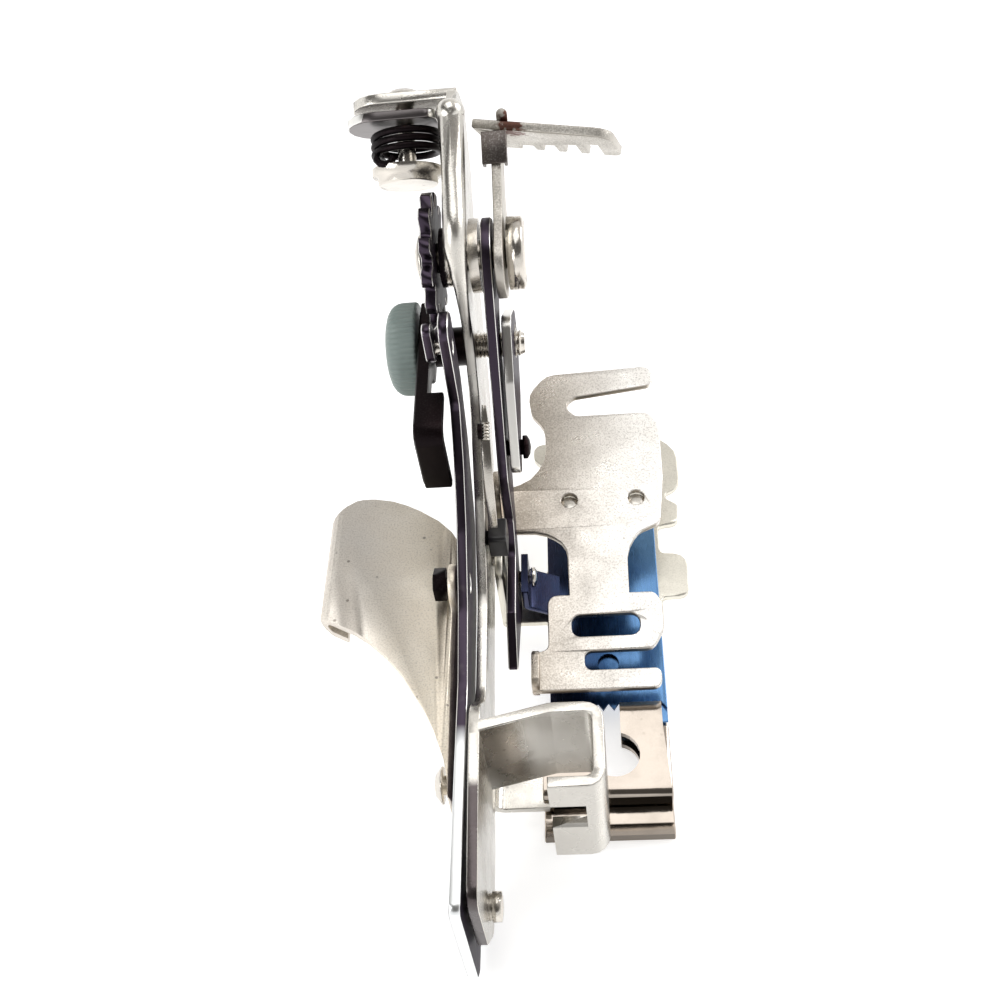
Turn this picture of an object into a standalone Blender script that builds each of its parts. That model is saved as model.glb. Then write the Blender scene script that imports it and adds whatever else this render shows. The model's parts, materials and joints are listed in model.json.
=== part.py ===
"""Ruffler foot for a low-shank sewing machine, modelled piece by piece.

X runs to the sewer's left, Y to the front of the machine bed and Z up. The origin is on the
underside of the sole, on the needle's line and behind its hole. Side plates are drawn in the
Y-Z plane and measured from the needle, because the needle is what the foot is laid out around.
"""
import math

import bmesh
import bpy
from mathutils import Matrix, Vector

MM = 0.001

# Stock and clearances
SHEET = 1.1 * MM
GUIDE_SHEET = 0.9 * MM
BLADE_STEEL = 0.35 * MM
EDGE_ROUND = 0.13 * MM
BEND_RADIUS = 1.4 * MM
CORNER = 2.0 * MM
SEAT_GAP = 0.3 * MM
RUN_GAP = 0.45 * MM
BORE_GAP = 0.1 * MM
CUT_OVER = 1.5 * MM

# Where the needle is, and the two planes that carry the mechanism
NEEDLE_Y = 9.0 * MM
FRAME_X = -12.0 * MM
FRAME_LEFT = FRAME_X - SHEET / 2
FRAME_RIGHT = FRAME_X + SHEET / 2
LEVER_X = FRAME_LEFT - RUN_GAP - SHEET / 2
LEVER_LEFT = LEVER_X - SHEET / 2
LEVER_RIGHT = LEVER_X + SHEET / 2

# The frame's box in the side view from the needle, and the axes that cross the foot as
# shares of that box
FRAME_START = (-25.0 * MM, 2.5 * MM)
FRAME_SIZE = (78.5 * MM, 52.0 * MM)
PIVOT_SHARES = (0.0510, 0.0865)
HUB_SHARES = (0.8013, 0.7327)
SCREW_SHARES = (0.7669, 0.5288)


def frame_point(shares):
    return [FRAME_START[i] + shares[i] * FRAME_SIZE[i] for i in range(2)]


PIVOT_Y, PIVOT_Z = frame_point(PIVOT_SHARES)
HUB_Y, HUB_Z = frame_point(HUB_SHARES)
SCREW_Y, SCREW_Z = frame_point(SCREW_SHARES)

COARSE_SIDES = 12
ROUND_SIDES = 16
FINE_SIDES = 28
ARC_STEP = math.radians(30)
WELD = 0.002 * MM


def clear_scene():
    for obj in list(bpy.data.objects):
        bpy.data.objects.remove(obj, do_unlink=True)


def new_collection(name):
    collection = bpy.data.collections.new(name)
    bpy.context.scene.collection.children.link(collection)
    return collection


def finish_of(name, colour, roughness, metallic):
    material = bpy.data.materials.new(name)
    material.use_nodes = True
    shader = material.node_tree.nodes["Principled BSDF"]
    shader.inputs["Base Color"].default_value = (*colour, 1)
    shader.inputs["Roughness"].default_value = roughness
    shader.inputs["Metallic"].default_value = metallic
    return material


NICKEL = ((0.70, 0.67, 0.62), 0.28, 1)
SATIN = ((0.62, 0.59, 0.54), 0.42, 1)
POLISHED = ((0.78, 0.74, 0.68), 0.14, 1)
DARK_STEEL = ((0.17, 0.15, 0.15), 0.35, 1)
BLACK_STEEL = ((0.035, 0.028, 0.026), 0.4, 0.6)
BLUED_STEEL = ((0.06, 0.12, 0.24), 0.25, 1)
GREY_GREEN = ((0.36, 0.45, 0.42), 0.45, 0)
BLACK_NYLON = ((0.02, 0.02, 0.022), 0.4, 0)


def side_view(x):
    """Local x, y, z become the world's Y, Z, X, with the local origin at the needle."""
    turn = Matrix(((0, 0, 1, 0), (1, 0, 0, 0), (0, 1, 0, 0), (0, 0, 0, 1)))
    return Matrix.Translation((x, NEEDLE_Y, 0)) @ turn


def plan_view(z):
    return Matrix.Translation((0, NEEDLE_Y, z))


def tilted_plan(y, z, rise):
    """A plan that climbs towards the front by the angle rise, from a line at y, z."""
    return Matrix.Translation((0, NEEDLE_Y + y, z)) @ Matrix.Rotation(rise, 4, "X")


def in_box(shares, start, size, corner):
    """Corner points of an outline from shares of its box, each with its corner's rounding."""
    return [(start[0] + u * size[0], start[1] + v * size[1], k * corner) for u, v, k in shares]


def rounded(points):
    """A closed outline whose corners are arcs of the radius that each point names."""
    outline = []
    count = len(points)
    for index, (x, y, radius) in enumerate(points):
        here = Vector((x, y))
        before = Vector(points[index - 1][:2]) - here
        after = Vector(points[(index + 1) % count][:2]) - here
        between = before.angle(after)
        if radius <= 0 or between > math.radians(175):
            outline.append(here)
            continue
        half = between / 2
        reach = min(radius / math.tan(half), before.length * 0.48, after.length * 0.48)
        true_radius = reach * math.tan(half)
        centre = here + (before.normalized() + after.normalized()).normalized() * (
            true_radius / math.sin(half))
        first = here + before.normalized() * reach - centre
        last = here + after.normalized() * reach - centre
        sweep = first.angle_signed(last)
        steps = max(1, math.ceil(abs(sweep) / ARC_STEP))
        for step in range(steps + 1):
            turn = Matrix.Rotation(-sweep * step / steps, 2)
            outline.append(centre + turn @ first)
    return outline


def ring(x, y, radius, sides=ROUND_SIDES):
    return [Vector((x + radius * math.cos(2 * math.pi * i / sides),
                    y + radius * math.sin(2 * math.pi * i / sides))) for i in range(sides)]


def strip(path, thickness):
    """The closed outline of a folded strip, from the corners and bends of its middle line."""
    first, last = path[0], path[-1]
    bends = rounded([(first[0], first[1], 0)] + list(path[1:-1]) + [(last[0], last[1], 0)])
    side_a, side_b = [], []
    for index, point in enumerate(bends):
        ahead = bends[min(index + 1, len(bends) - 1)] - point
        behind = point - bends[max(index - 1, 0)]
        if index == 0:
            behind = ahead
        if index == len(bends) - 1:
            ahead = behind
        along = (ahead.normalized() + behind.normalized()).normalized()
        across = Vector((-along.y, along.x)) * thickness / 2 / max(along.dot(ahead.normalized()), 0.3)
        side_a.append(point + across)
        side_b.append(point - across)
    return side_a + side_b[::-1]


def mesh_from_curve(curve_object):
    """The welded mesh of a curve object, which it replaces."""
    depsgraph = bpy.context.evaluated_depsgraph_get()
    mesh = bpy.data.meshes.new_from_object(curve_object.evaluated_get(depsgraph))
    shell = bmesh.new()
    shell.from_mesh(mesh)
    bmesh.ops.remove_doubles(shell, verts=shell.verts, dist=WELD)
    bmesh.ops.recalc_face_normals(shell, faces=shell.faces)
    shell.to_mesh(mesh)
    shell.free()
    placed = bpy.data.objects.new(curve_object.name, mesh)
    placed.matrix_world = curve_object.matrix_world.copy()
    curve = curve_object.data
    bpy.data.objects.remove(curve_object, do_unlink=True)
    bpy.data.curves.remove(curve)
    return placed


def plate(name, outline, thickness, place, holes=(), edge=EDGE_ROUND):
    """A flat piece of sheet: an outline with holes, its rim lightly rounded."""
    curve = bpy.data.curves.new(name, "CURVE")
    curve.dimensions = "2D"
    curve.fill_mode = "BOTH"
    curve.extrude = thickness / 2 - edge
    curve.bevel_depth = edge
    curve.bevel_resolution = 0
    curve.offset = -edge
    for loop in (outline, *holes):
        spline = curve.splines.new("POLY")
        spline.points.add(len(loop) - 1)
        for point, place_2d in zip(spline.points, loop):
            point.co = (place_2d[0], place_2d[1], 0, 1)
        spline.use_cyclic_u = True
    drawn = bpy.data.objects.new(name, curve)
    PIECES.objects.link(drawn)
    bpy.context.view_layer.update()
    placed = mesh_from_curve(drawn)
    placed.name = name
    PIECES.objects.link(placed)
    placed.matrix_world = place
    return placed


def turned(name, profile, place, sides=ROUND_SIDES):
    """A turned piece: radius and height down its outer side, turned about its own Z."""
    mesh = bpy.data.meshes.new(name)
    line = bmesh.new()
    closed = profile[0] == profile[-1]
    corners = [line.verts.new((radius, 0, height)) for radius, height in profile[:-1 if closed else None]]
    for here, there in zip(corners, corners[1:]):
        line.edges.new((here, there))
    if closed:
        line.edges.new((corners[-1], corners[0]))
    line.to_mesh(mesh)
    line.free()
    piece = bpy.data.objects.new(name, mesh)
    PIECES.objects.link(piece)
    screw = piece.modifiers.new("turn", "SCREW")
    screw.steps = sides
    screw.render_steps = sides
    screw.use_merge_vertices = True
    screw.merge_threshold = WELD
    piece.matrix_world = place
    return piece


def across(x, y, z):
    """The place of a turned piece whose axis runs across the foot, its top towards +X."""
    return Matrix.Translation((x, NEEDLE_Y + y, z)) @ Matrix.Rotation(math.radians(90), 4, "Y")


def solid_box(name, low, high):
    bpy.ops.mesh.primitive_cube_add(size=1)
    box = bpy.context.active_object
    for owner in list(box.users_collection):
        owner.objects.unlink(box)
    PIECES.objects.link(box)
    box.name = name
    low, high = Vector(low), Vector(high)
    size = high - low
    box.data.transform(Matrix.Diagonal((*size, 1)))
    box.location = (low + high) / 2
    return box


def baked(piece):
    """Write the modifiers of a piece into its mesh."""
    bpy.context.view_layer.update()
    depsgraph = bpy.context.evaluated_depsgraph_get()
    mesh = bpy.data.meshes.new_from_object(piece.evaluated_get(depsgraph))
    piece.modifiers.clear()
    piece.data = mesh
    return piece


def combined(piece, others, operation):
    for other in others:
        step = piece.modifiers.new(operation.lower(), "BOOLEAN")
        step.operation = operation
        step.solver = "EXACT"
        step.object = other
    baked(piece)
    for other in others:
        bpy.data.objects.remove(other, do_unlink=True)
    return piece


def joined(piece, *others):
    return combined(piece, others, "UNION")


def cut_by(piece, *others):
    return combined(piece, others, "DIFFERENCE")


def kept_in(piece, other):
    return combined(piece, [other], "INTERSECT")


def wire(name, points, radius, swell_shares=None):
    """A round wire along its points, with closed ends and a share of its radius at each."""
    curve = bpy.data.curves.new(name, "CURVE")
    curve.dimensions = "3D"
    curve.bevel_depth = radius
    curve.bevel_resolution = 2
    curve.use_fill_caps = True
    curve.resolution_u = 1
    spline = curve.splines.new("POLY")
    spline.points.add(len(points) - 1)
    for point, place_3d in zip(spline.points, points):
        point.co = (*place_3d, 1)
    for point, share in zip(spline.points, swell_shares or []):
        point.radius = share
    drawn = bpy.data.objects.new(name, curve)
    PIECES.objects.link(drawn)
    bpy.context.view_layer.update()
    placed = mesh_from_curve(drawn)
    placed.name = name
    PIECES.objects.link(placed)
    return placed


def dress(piece, finish):
    material = finish_of(piece.name, *finish)
    piece.data.materials.clear()
    piece.data.materials.append(material)
    for face in piece.data.polygons:
        face.material_index = 0
    piece.data.shade_smooth()
    piece.data.set_sharp_from_angle(angle=math.radians(35))
    return piece


def pivoted(piece, place):
    """Move a piece's origin to its joint's axis, leaving the solid where it is."""
    shift = Matrix.Translation(place)
    piece.data.transform(shift.inverted() @ piece.matrix_world)
    piece.matrix_world = shift
    return piece


def headed_pin(name, x_left, x_right, y, z, shank_radius, left_head, right_head, sides=ROUND_SIDES):
    """A pin or rivet across the foot: each head is its radius, height and dome height."""
    profile = [(0, x_right - x_left)]
    radius, height, dome = right_head
    if radius > shank_radius:
        profile = [(0, x_right - x_left + height), (radius * 0.6, x_right - x_left + height - dome * 0.3),
                   (radius, x_right - x_left + height - dome), (radius, x_right - x_left)]
    profile.append((shank_radius, x_right - x_left))
    profile.append((shank_radius, 0))
    radius, height, dome = left_head
    if radius > shank_radius:
        profile += [(radius, 0), (radius, -height + dome), (radius * 0.6, -height + dome * 0.3)]
        profile.append((0, -height))
    else:
        profile.append((0, 0))
    return turned(name, profile, across(x_left, y, z), sides)


# Frame: one folded sheet with the side plate, the ear on top, the clamp hook and the tab
# that carries the foot plate
FRAME_OUTLINE_SHARES = [
    (0.000, 0.092, 1.0), (0.000, 0.283, 1.0), (0.208, 0.327, 0.6), (0.248, 0.327, 1.0),
    (0.294, 0.231, 1.5), (0.446, 0.250, 2.0), (0.573, 0.356, 2.5), (0.682, 0.481, 3.0),
    (0.720, 0.600, 3.0), (0.720, 0.854, 1.2), (0.822, 0.910, 1.5), (0.887, 1.000, 0.6),
    (0.934, 1.000, 0.3), (1.000, 0.883, 0.3), (0.977, 0.762, 1.5), (0.912, 0.658, 2.0),
    (0.871, 0.515, 2.5), (0.841, 0.360, 3.0), (0.769, 0.221, 3.0), (0.659, 0.129, 2.5),
    (0.446, 0.098, 2.5), (0.274, 0.046, 2.0), (0.141, 0.000, 1.5), (0.036, 0.000, 1.0)]
BEAD_PATH_SHARES = [(0.885, 0.995), (0.822, 0.915), (0.765, 0.880), (0.728, 0.850), (0.722, 0.740),
                    (0.722, 0.620)]
BEAD_SWELL_SHARES = [1.1, 1.0, 1.0, 0.95, 0.55, 0.35]
BEAD_RADIUS = 1.25 * MM
BEAD_BALL_RADIUS = 1.5 * MM
PIN_RADIUS = 1.3 * MM
STUD_RADIUS = 1.6 * MM
SCREW_RADIUS = 1.5 * MM

EAR_INCLINE = math.radians(48)
EAR_REACH = 11.3 * MM
EAR_DEPTH = 7.8 * MM
EAR_REAR_SHARES = (0.9350, 0.9923)
EAR_PIN_REACH = 5.7 * MM

HOOK_SHEET = 1.2 * MM
HOOK_LOW = 4.7 * MM
FRONT_WALL_LOW = 7.1 * MM
HOOK_TOP = 19.5 * MM
HOOK_FRONT_Y = -6.1 * MM
HOOK_RIGHT_X = 0.1 * MM
HOOK_SHOULDER_X = -4.6 * MM
HOOK_ROOT_Y = -7.9 * MM
LIP_END_X = -4.9 * MM
BAR_ROOM = 6.9 * MM
LIP_Y = HOOK_FRONT_Y - BAR_ROOM - HOOK_SHEET
THUMB_SLOT = 4.4 * MM
THUMB_SLOT_Z = 13.3 * MM
THUMB_SLOT_END_X = -1.4 * MM

TAB_SHEET = 0.9 * MM
TAB_Z = 1.25 * MM
TAB_REAR_Y = -8.2 * MM
TAB_FRONT_Y = -4.0 * MM
FOOT_LEFT_X = -6.4 * MM
TAB_OVERLAP = 0.7 * MM
TAB_END_X = FOOT_LEFT_X + TAB_OVERLAP


def ear_place(offset):
    """The inclined plane of the ear, with its local y running down towards the front."""
    rear_y, rear_z = frame_point(EAR_REAR_SHARES)
    base = Matrix.Translation((FRAME_X, NEEDLE_Y + rear_y, rear_z))
    return base @ Matrix.Rotation(-EAR_INCLINE, 4, "X") @ Matrix.Translation((0, 0, offset))


def make_frame():
    outline = rounded(in_box(FRAME_OUTLINE_SHARES, FRAME_START, FRAME_SIZE, CORNER))
    bores = [ring(PIVOT_Y, PIVOT_Z, PIN_RADIUS + BORE_GAP), ring(HUB_Y, HUB_Z, STUD_RADIUS + BORE_GAP),
             ring(SCREW_Y, SCREW_Z, SCREW_RADIUS + BORE_GAP),
             ring(BLOCK_Y, BLOCK_Z, BLOCK_PEG_RADIUS + BORE_GAP, COARSE_SIDES),
             ring(NECK_RIVET_Y, NECK_RIVET_Z, NECK_RIVET_RADIUS + BORE_GAP, COARSE_SIDES),
             ring(UNDER_RIVET_Y, UNDER_RIVET_Z, NECK_RIVET_RADIUS + BORE_GAP, COARSE_SIDES)]
    frame = plate("frame", outline, SHEET, side_view(FRAME_X), bores)
    ear_outline = rounded([(SHEET / 2, 0, 0), (SHEET / 2, EAR_DEPTH, 0),
                           (-EAR_REACH, EAR_DEPTH, EAR_DEPTH / 2), (-EAR_REACH, 0, EAR_DEPTH / 2)])
    ear_bore = ring(-EAR_PIN_REACH, EAR_DEPTH / 2, SELECTOR_PIN_RADIUS + BORE_GAP)
    ear = plate("ear", ear_outline, SHEET, ear_place(0), [ear_bore])
    hook_path = [(FRAME_X, HOOK_ROOT_Y), (HOOK_SHOULDER_X, HOOK_FRONT_Y, BEND_RADIUS),
                 (HOOK_RIGHT_X, HOOK_FRONT_Y, BEND_RADIUS), (HOOK_RIGHT_X, LIP_Y, BEND_RADIUS),
                 (LIP_END_X, LIP_Y)]
    hook = plate("hook", strip(hook_path, HOOK_SHEET), HOOK_TOP - HOOK_LOW,
                 plan_view((HOOK_TOP + HOOK_LOW) / 2))
    slot = solid_box("thumb_slot", (LIP_END_X - CUT_OVER, NEEDLE_Y + LIP_Y - HOOK_SHEET,
                                    THUMB_SLOT_Z - THUMB_SLOT / 2),
                     (THUMB_SLOT_END_X, NEEDLE_Y + LIP_Y + HOOK_SHEET, THUMB_SLOT_Z + THUMB_SLOT / 2))
    low_side = solid_box("low_side",
                         (FRAME_LEFT, NEEDLE_Y + HOOK_ROOT_Y - HOOK_SHEET, HOOK_LOW - CUT_OVER),
                         (HOOK_RIGHT_X - HOOK_SHEET / 2, NEEDLE_Y + HOOK_FRONT_Y + HOOK_SHEET,
                          FRONT_WALL_LOW))
    cut_by(hook, slot, low_side)
    tab_path = [(FRAME_X, FRAME_START[1] + SHEET * 2), (FRAME_X, TAB_Z + TAB_SHEET / 2, BEND_RADIUS),
                (TAB_END_X, TAB_Z + TAB_SHEET / 2)]
    tab_middle = (TAB_REAR_Y + TAB_FRONT_Y) / 2 + NEEDLE_Y
    tab_place = Matrix.Translation((0, tab_middle, 0)) @ Matrix.Rotation(math.radians(90), 4, "X")
    tab = plate("tab", strip(tab_path, TAB_SHEET), TAB_FRONT_Y - TAB_REAR_Y, tab_place)
    bead_places = []
    for shares in BEAD_PATH_SHARES:
        y, z = frame_point(shares)
        bead_places.append(Vector((FRAME_X, NEEDLE_Y + y, z)))
    bead = wire("bead", bead_places, BEAD_RADIUS, BEAD_SWELL_SHARES)
    bpy.ops.mesh.primitive_uv_sphere_add(segments=ROUND_SIDES, ring_count=ROUND_SIDES // 2,
                                         radius=BEAD_BALL_RADIUS, location=bead_places[0])
    joined(frame, ear, hook, tab, bead, bpy.context.active_object)
    return dress(frame, NICKEL)


# Foot plate and sole: two pressed plates with the needle's keyhole, one above the blades
# and one below
FOOT_WIDTH = 14.0 * MM
FOOT_SHEET = 0.7 * MM
FOOT_FRONT_Y = 3.9 * MM
FOOT_REAR_Y = -7.2 * MM
FOOT_UNDER_Z = 2.6 * MM
SOLE_SHEET = 0.8 * MM
SOLE_REAR_Y = -11.3 * MM
SOLE_HEEL_RISE = 0.5 * MM
NEEDLE_HOLE_X = 1.6 * MM
NEEDLE_HOLE_Y = -2.6 * MM
NEEDLE_HOLE_RADIUS = 2.7 * MM
NEEDLE_SLOT_LEFT_X = -1.0 * MM
NEEDLE_SLOT_RIGHT_X = 2.3 * MM
STEP_DEPTH = 0.6 * MM
STEP_Y = 0.7 * MM


def cut_keyhole(piece, low_z, high_z):
    """The round window and the open slot that the needle passes through."""
    window = turned("window", [(0, high_z), (NEEDLE_HOLE_RADIUS, high_z), (NEEDLE_HOLE_RADIUS, low_z),
                               (0, low_z)],
                    Matrix.Translation((NEEDLE_HOLE_X, NEEDLE_Y + NEEDLE_HOLE_Y, 0)), FINE_SIDES)
    slot = solid_box("slot", (NEEDLE_SLOT_LEFT_X, NEEDLE_Y + NEEDLE_HOLE_Y, low_z),
                     (NEEDLE_SLOT_RIGHT_X, NEEDLE_Y + FOOT_FRONT_Y + CUT_OVER, high_z))
    return cut_by(piece, window, slot)


def make_foot():
    middle_x = FOOT_LEFT_X + FOOT_WIDTH / 2
    foot_z = FOOT_UNDER_Z + FOOT_SHEET / 2
    path = [(FOOT_FRONT_Y, foot_z), (FOOT_REAR_Y, foot_z, FOOT_SHEET),
            (FOOT_REAR_Y, SOLE_SHEET + SEAT_GAP)]
    foot = plate("foot_plate", strip(path, FOOT_SHEET), FOOT_WIDTH, side_view(middle_x))
    cut_keyhole(foot, SOLE_SHEET, FOOT_UNDER_Z + FOOT_SHEET + CUT_OVER)
    step_low = (FOOT_LEFT_X + FOOT_WIDTH - STEP_DEPTH, NEEDLE_Y + STEP_Y, SOLE_SHEET)
    step_high = (FOOT_LEFT_X + FOOT_WIDTH + CUT_OVER, NEEDLE_Y + FOOT_FRONT_Y + CUT_OVER,
                 FOOT_UNDER_Z + FOOT_SHEET + CUT_OVER)
    tab_room = solid_box("tab_room", (FOOT_LEFT_X - CUT_OVER, NEEDLE_Y + TAB_REAR_Y - SEAT_GAP, SOLE_SHEET),
                         (TAB_END_X + SEAT_GAP, NEEDLE_Y + TAB_FRONT_Y, TAB_Z + TAB_SHEET + SEAT_GAP))
    cut_by(foot, solid_box("step", step_low, step_high), tab_room)
    dress(foot, POLISHED)
    sole_path = [(FOOT_FRONT_Y, SOLE_SHEET / 2), (SOLE_REAR_Y + SOLE_SHEET * 2, SOLE_SHEET / 2, SOLE_SHEET),
                 (SOLE_REAR_Y, SOLE_SHEET / 2 + SOLE_HEEL_RISE)]
    sole = plate("sole_plate", strip(sole_path, SOLE_SHEET), FOOT_WIDTH, side_view(middle_x))
    cut_keyhole(sole, -CUT_OVER, SOLE_SHEET + CUT_OVER)
    return foot, dress(sole, POLISHED)


# Blades: two blued spring-steel strips that climb from the foot to the front; the upper one
# has the teeth that push the cloth, and slides in its own plane
BLADE_LEFT_X = -5.5 * MM
BLADE_WIDTH = 13.2 * MM
BLADE_FRONT_Y = 33.0 * MM
BLADE_CLIMB = math.radians(5)
BLADE_LIFT = 0.6 * MM
SEPARATOR_Z = 1.32 * MM
SEPARATOR_REAR_Y = 2.2 * MM
RUFFLER_REAR_Y = 3.4 * MM
SEPARATOR_SLOT_DEPTH = 2.6 * MM
TOOTH_PITCH = 1.2 * MM
TOOTH_DEPTH = 1.0 * MM
BLADE_HOLE_X = 1.3 * MM
BLADE_HOLE_Y = 9.4 * MM
BLADE_HOLE_RADIUS = 1.25 * MM
DRIVE_PIN_Y = 18.5 * MM
DRIVE_PIN_Z = 8.0 * MM
DRIVE_PIN_RADIUS = 0.8 * MM
DRIVE_EAR_X = -7.9 * MM
DRIVE_EAR_SHEET = 0.8 * MM
DRIVE_EAR_LENGTH = 5.4 * MM
DRIVE_EAR_RIM = 0.9 * MM
DRIVE_EAR_LOW = 2.6 * MM
DRIVE_EAR_OVERLAP = 1.2 * MM
STROKE = 4.4 * MM


def blade_height(y):
    """Height of the ruffling blade's middle at a place in the side view."""
    return SEPARATOR_Z + BLADE_LIFT + y * math.tan(BLADE_CLIMB)


def make_blade(name, z, rear_y):
    outline = rounded([(BLADE_LEFT_X, rear_y, 0), (BLADE_LEFT_X + BLADE_WIDTH, rear_y, 0),
                       (BLADE_LEFT_X + BLADE_WIDTH, BLADE_FRONT_Y, CORNER),
                       (BLADE_LEFT_X, BLADE_FRONT_Y, CORNER)])
    return plate(name, outline, BLADE_STEEL, tilted_plan(0, z, BLADE_CLIMB), edge=BLADE_STEEL / 5)


def make_separator_blade():
    separator = make_blade("separator_blade", SEPARATOR_Z, SEPARATOR_REAR_Y)
    slot_low = (NEEDLE_SLOT_LEFT_X, NEEDLE_Y + SEPARATOR_REAR_Y - CUT_OVER, 0)
    slot_high = (NEEDLE_SLOT_RIGHT_X, NEEDLE_Y + SEPARATOR_REAR_Y + SEPARATOR_SLOT_DEPTH, FOOT_UNDER_Z)
    return dress(cut_by(separator, solid_box("blade_slot", slot_low, slot_high)), BLUED_STEEL)


def make_ruffling_blade():
    ruffler = make_blade("ruffling_blade", SEPARATOR_Z + BLADE_LIFT, RUFFLER_REAR_Y)
    count = int(BLADE_WIDTH / TOOTH_PITCH)
    margin = (BLADE_WIDTH - count * TOOTH_PITCH) / 2
    comb = [(BLADE_LEFT_X - CUT_OVER, RUFFLER_REAR_Y - CUT_OVER)]
    for index in range(count + 1):
        x = BLADE_LEFT_X + margin + index * TOOTH_PITCH
        comb.append((x, RUFFLER_REAR_Y + TOOTH_DEPTH / 8))
        if index < count:
            comb.append((x + TOOTH_PITCH / 2, RUFFLER_REAR_Y + TOOTH_DEPTH))
    comb.append((BLADE_LEFT_X + BLADE_WIDTH + CUT_OVER, RUFFLER_REAR_Y - CUT_OVER))
    teeth = plate("teeth", comb[::-1], FOOT_UNDER_Z, plan_view(blade_height(RUFFLER_REAR_Y)),
                  edge=EDGE_ROUND / 100)
    hole = turned("blade_hole", [(0, FOOT_UNDER_Z * 2), (BLADE_HOLE_RADIUS, FOOT_UNDER_Z * 2),
                                 (BLADE_HOLE_RADIUS, 0), (0, 0)],
                  Matrix.Translation((BLADE_HOLE_X, NEEDLE_Y + BLADE_HOLE_Y, 0)))
    cut_by(ruffler, teeth, hole)
    foot_z = blade_height(DRIVE_PIN_Y)
    ear_top = DRIVE_PIN_Z + DRIVE_PIN_RADIUS + DRIVE_EAR_RIM
    path = [(DRIVE_EAR_X, ear_top - foot_z), (DRIVE_EAR_X, DRIVE_EAR_LOW, BEND_RADIUS / 2),
            (BLADE_LEFT_X + DRIVE_EAR_OVERLAP, DRIVE_EAR_SHEET / 2)]
    place = Matrix.Translation((0, NEEDLE_Y + DRIVE_PIN_Y, foot_z)) @ Matrix.Rotation(
        BLADE_CLIMB + math.radians(90), 4, "X")
    ear = plate("drive_ear", strip(path, DRIVE_EAR_SHEET), DRIVE_EAR_LENGTH, place)
    reach = DRIVE_PIN_RADIUS + BORE_GAP
    bore = turned("drive_bore", [(0, DRIVE_EAR_SHEET), (reach, DRIVE_EAR_SHEET), (reach, -DRIVE_EAR_SHEET),
                                 (0, -DRIVE_EAR_SHEET)],
                  across(DRIVE_EAR_X, DRIVE_PIN_Y, DRIVE_PIN_Z), COARSE_SIDES)
    cut_by(ear, bore)
    joined(ruffler, ear)
    pivoted(ruffler, (DRIVE_EAR_X, NEEDLE_Y + DRIVE_PIN_Y, foot_z))
    return dress(ruffler, BLUED_STEEL)


# Separator guide: a stamped plate above the blades with two open cloth slots and a closed
# loop, held to the frame by the neck that is folded up at its left
GUIDE_CLIMB = math.radians(12)
GUIDE_REAR_Y = FRAME_START[0] + FRAME_SIZE[0] * 0.3720
GUIDE_REAR_Z = 5.4 * MM
GUIDE_SIZE = (16.9 * MM, 43.0 * MM)
GUIDE_START = (-7.9 * MM, 0)
GUIDE_OUTLINE_SHARES = [
    (0.035, 0.000, 0.0), (0.895, 0.000, 0.5), (0.895, 0.056, 0.4), (0.390, 0.056, 0.4),
    (0.390, 0.108, 0.4), (0.850, 0.108, 0.6), (0.930, 0.160, 0.9), (0.930, 0.235, 0.9),
    (0.885, 0.272, 0.5), (0.712, 0.272, 0.0), (0.715, 0.395, 1.5), (0.790, 0.450, 1.2),
    (0.960, 0.478, 0.6), (1.000, 0.620, 1.0), (1.000, 0.790, 1.2), (0.930, 0.838, 0.8),
    (0.390, 0.838, 0.5), (0.335, 0.862, 0.3), (0.335, 0.885, 0.3), (0.390, 0.902, 0.5),
    (0.975, 0.930, 0.5), (0.975, 0.998, 0.9), (0.180, 0.985, 1.2), (0.045, 0.920, 1.2),
    (0.070, 0.845, 1.0), (0.165, 0.800, 1.5), (0.165, 0.700, 2.0), (0.060, 0.630, 2.0),
    (-0.185, 0.600, 0.2), (-0.185, 0.470, 0.2), (0.120, 0.465, 1.5), (0.300, 0.425, 2.2),
    (0.300, 0.272, 0.0), (0.150, 0.272, 0.6), (0.150, 0.118, 0.4), (0.035, 0.105, 0.3)]
LOOP_WINDOW_SHARES = [(0.310, 0.150, 0.5), (0.770, 0.150, 0.5), (0.775, 0.212, 0.5), (0.310, 0.212, 0.5)]
DIMPLE_SHARES = [(0.325, 0.560), (0.800, 0.560)]
DIMPLE_RADIUS = 1.0 * MM
NECK_SHARES = (0.470, 0.600)
NECK_HEIGHT = 6.5 * MM
UPRIGHT_TAB_SHARES = (0.035, 0.110)
NECK_RIVET_RADIUS = 0.9 * MM
NECK_X = FRAME_RIGHT + SEAT_GAP + GUIDE_SHEET / 2
TAB_UP_HEIGHT = 2.6 * MM


def guide_place():
    return tilted_plan(GUIDE_REAR_Y, GUIDE_REAR_Z, GUIDE_CLIMB)


def neck_middle():
    share = (NECK_SHARES[0] + NECK_SHARES[1]) / 2
    return guide_place() @ Vector((NECK_X, GUIDE_SIZE[1] * share, 0))


NECK_RIVET_Y = neck_middle().y - NEEDLE_Y
NECK_RIVET_Z = neck_middle().z + NECK_HEIGHT * 0.5


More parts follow.
